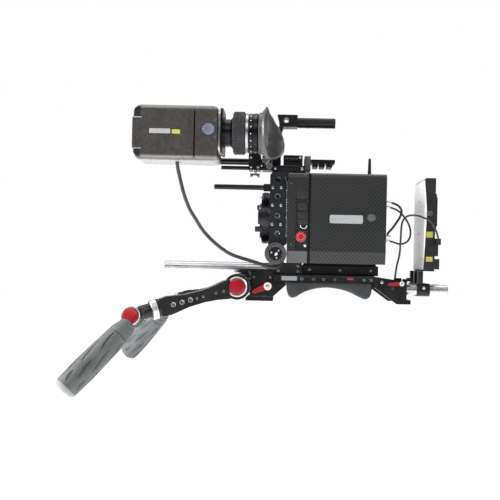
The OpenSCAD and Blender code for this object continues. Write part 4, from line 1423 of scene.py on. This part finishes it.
for hand, s in HANDS:
    # The arm's chamfers are coloured bright metal: a painted highlight along its edges.
    edge_highlight_paint(machined(f"{hand}_arm", arm_black, 0.9, f"{hand}_arm_metal", angle=32))
    handed(hand, s, "arm_collar",
           [(0, 11.15), (0, 14.2), (-0.7, 14.0), (-1.3, 13.2), (-1.3, 11.9), (-0.6, 11.15), (0, 11.15)],
           (HEAD.x, HEAD_FACE + 0.1, HEAD.z), (0, 1, 0), 56, polished_metal_and_edge_highlight, "arm")
    handed(hand, s, "arm_button_cap",
           [(-3.2, 0), (-3.3, 5), (-3.0, 9.2), (-2.4, 10.5), (-1.6, BUTTON_R - 0.03), (1.4, BUTTON_R - 0.03), (1.4, 0)],
           (HEAD.x, HEAD_FACE - 0.6, HEAD.z), (0, 1, 0), 48, button_red, "arm_button", "arm_button")
arm_dir = (ARM_END - HEAD).normalized()
arm_side = arm_dir.cross(Vector((0, 0, 1))).normalized()
if arm_side.y > 0:
    arm_side = -arm_side


def arm_spots(s, reaches, out):
    """Places along the arm's outer face, out from its middle line, and the way they face."""
    places = [HEAD + arm_dir * reach + arm_side * out for reach in reaches]
    return [((p.x, p.y * -s, p.z), (arm_side.x, arm_side.y * -s, arm_side.z)) for p in places]


for hand, s in HANDS:
    grown(f"{hand}_arm_rims", rims, polished_metal_and_edge_highlight, f"{hand}_arm", "steel", arm_spots(s, (70, 82, 94), 5.95),
          Hole_Radius=2.65, Rim_Radius=3.3, Proud=0.3)
    screwed(f"{hand}_arm_screws", screw_steel, f"{hand}_arm", arm_spots(s, (22.5, 33.5, 52.0, 61.0), 6.0),
            size=(2.0, 0.45, 1.1))

# ---- Swivels ----
# Each arm ends in a turning tube with a polished band round it and a black knuckle whose face is toothed. The grip's
# own drum turns against the teeth.

for hand, s in HANDS:
    # The swivel's chamfers are coloured bright metal too: a painted highlight along its edges.
    edge_highlight_paint(machined(f"{hand}_swivel", arm_black, 0.8, f"{hand}_swivel_metal", angle=32))
    handed(hand, s, "swivel_band", [(116.0, 13.02), (116.2, 13.4), (123.6, 13.4), (123.9, 13.02), (116.0, 13.02)],
           HEAD, arm_dir, 56, polished_metal_and_edge_highlight, "swivel")

# ---- Grips ----
# Soft gray rubber moulded over a tube, with leaf-shaped hollows that take the fingers, a plain collar at the top and
# a paler end cap. The hollows and the grooves at the collar and cap are coloured darker as painted shade. The drum at
# the top is black metal; a bright collar on it holds the red button that frees the grip.

KNUCKLE = Vector((-162, -134, -20))
PUSH = Vector((-0.100, -0.951, 0.292)).normalized()
NECK = Vector((-9, -11.5, -16)).normalized()
GRIP_ROOT = Vector((-169, -144, -33))
GRIP_TIP = Vector((-236, -190, -109))
GRIP_LINE = ((0, 13.0), (4, 13.5), (7, 14.4), (12, 14.8), (40, 15.8), (75, 16.5), (98, 15.9), (103, 15.6), (106, 15.2),
             (108.4, 13.4), (110, 10.2), (111, 0.0))
LEAVES = [
    (turn + 36 * (row % 2) + 9 * row, place, length, 10.5 if row < 3 else 12.0)
    for row, (place, length) in enumerate(((31, 15.0), (53, 18.0), (75, 15.0), (92, 8.5)))
    for turn in range(0, 360, 72)
]
LEAF_LEAN = 0.16
LEAF_DEPTH = 1.15
COLLAR_AT, CAP_AT = 13.5, 104.5
GRIP_AROUND = 120
GRIP_STEP = 0.9
GRIP_GRAY = (0.098, 0.103, 0.104)
GRIP_HOLLOW_SHADE, GRIP_CAP = (0.022, 0.023, 0.024), (0.25, 0.255, 0.26)


def grip_rubber():
    """Gray rubber with painted shade in the hollows and grooves, and paler on the end cap."""
    material = grained("gray_grip_rubber", GRIP_GRAY, 0.58, 0.16, grain=0.0007, depth=0.00007, gloss=0.3)
    tree = material.node_tree
    shader = tree.nodes["Principled BSDF"]
    base = shader.inputs["Base Color"].links[0].from_socket
    hollow = tree.nodes.new("ShaderNodeAttribute")
    hollow.attribute_name = "hollow"
    cap = tree.nodes.new("ShaderNodeAttribute")
    cap.attribute_name = "cap"
    # Painted shade: the rubber turns darker where the hollow mark is set.
    shaded_hollows = mixed(tree, hollow.outputs["Fac"], base, GRIP_HOLLOW_SHADE)
    tree.links.new(mixed(tree, cap.outputs["Fac"], shaded_hollows, GRIP_CAP), shader.inputs["Base Color"])
    return material


def radius_at(along):
    for (a, ra), (b, rb) in zip(GRIP_LINE, GRIP_LINE[1:]):
        if along <= b:
            return ra + (rb - ra) * (along - a) / (b - a)
    return 0.0


def leaf_depth(turn, along):
    """How deep a leaf-shaped hollow is at that angle in degrees and distance along the grip."""
    deepest = 0.0
    for centre, place, half_length, half_width in LEAVES:
        u = (along - place) / half_length
        if abs(u) >= 1:
            continue
        off = (turn - centre - LEAF_LEAN * (along - place) * 3.6 + 180) % 360 - 180
        width = half_width * (1 - u * u)
        if abs(off) < width:
            side = (off / width + 1) / 2
            deepest = max(deepest, min(1.0, side * 7) * (1 - side) ** 0.8)
    return deepest


def grip_mesh(sign):
    axis = (GRIP_TIP - GRIP_ROOT).normalized()
    side = axis.cross(Vector((0, 0, 1))).normalized()
    up = side.cross(axis)
    stations = [i * GRIP_STEP for i in range(int(104 / GRIP_STEP))]
    stations += [103.9, 104.2, 104.8, 105.1, 106, 107.2, 108.4, 109.2, 110, 110.6]
    bm = bmesh.new()
    marks, loops = [], []
    for along in stations:
        loop = []
        for k in range(GRIP_AROUND):
            angle = 360 * k / GRIP_AROUND
            sunk = leaf_depth(angle, along)
            line = max(math.exp(-(((along - COLLAR_AT) / 0.7) ** 2)), math.exp(-(((along - CAP_AT) / 0.45) ** 2)))
            radius = radius_at(along) - LEAF_DEPTH * sunk - 0.6 * line
            turn = math.radians(angle)
            point = GRIP_ROOT + axis * along + radius * (side * math.cos(turn) + up * math.sin(turn))
            loop.append(bm.verts.new(point * MM))
            # The first mark is painted shade: how much the hollows and the grooves at the collar and cap are darkened.
            marks.append((min(1.0, sunk * 0.85 + line * 0.9), 1.0 if along > CAP_AT else 0.0))
        loops.append(loop)
    tip = bm.verts.new((GRIP_ROOT + axis * GRIP_LINE[-1][0]) * MM)
    marks.append((0.0, 1.0))
    skin(bm, [*loops, [tip] * GRIP_AROUND])
    bm.faces.new(loops[0])
    bmesh.ops.recalc_face_normals(bm, faces=bm.faces)
    return sided(bm, sign), marks


grip_material = grip_rubber()
for hand, s in HANDS:
    shape, marks = grip_mesh(s)
    rubber = finished(shape, f"{hand}_grip_rubber", grip_material, f"{hand}_grip",
                      node=f"{hand}_grip", angle=50)
    for name, column in (("hollow", 0), ("cap", 1)):
        attribute = rubber.data.attributes.new(name, "FLOAT", "POINT")
        attribute.data.foreach_set("value", [mark[column] for mark in marks])
    handed(hand, s, "grip_neck", [(10.2, 0), (10.2, 11.0), (16, 12.0), (24, 13.0), (24, 0)], KNUCKLE, NECK, 40,
           grip_material, "grip")
    handed(hand, s, "grip_drum",
           [(0.4, 4.2), (0.4, 12.6), (1.1, 13.4), (8.6, 13.4), (9.4, 12.6), (9.4, 11.15), (5.2, 11.15), (5.2, 4.2),
            (0.4, 4.2)], KNUCKLE, PUSH, 56, arm_black, "grip")
    handed(hand, s, "grip_collar",
           [(9.3, 11.2), (9.3, 13.0), (9.9, 12.8), (10.5, 12.2), (10.5, 11.6), (10.0, 11.2), (9.3, 11.2)],
           KNUCKLE, PUSH, 56, polished_metal_and_edge_highlight, "grip")
    handed(hand, s, "grip_button_cap",
           [(7.0, 0), (7.0, BUTTON_R - 0.03), (11.4, BUTTON_R - 0.03), (12.4, 10.4), (12.9, 9.0), (13.1, 5), (13.0, 0)],
           KNUCKLE, PUSH, 48, button_red, "grip_button", "grip_button")
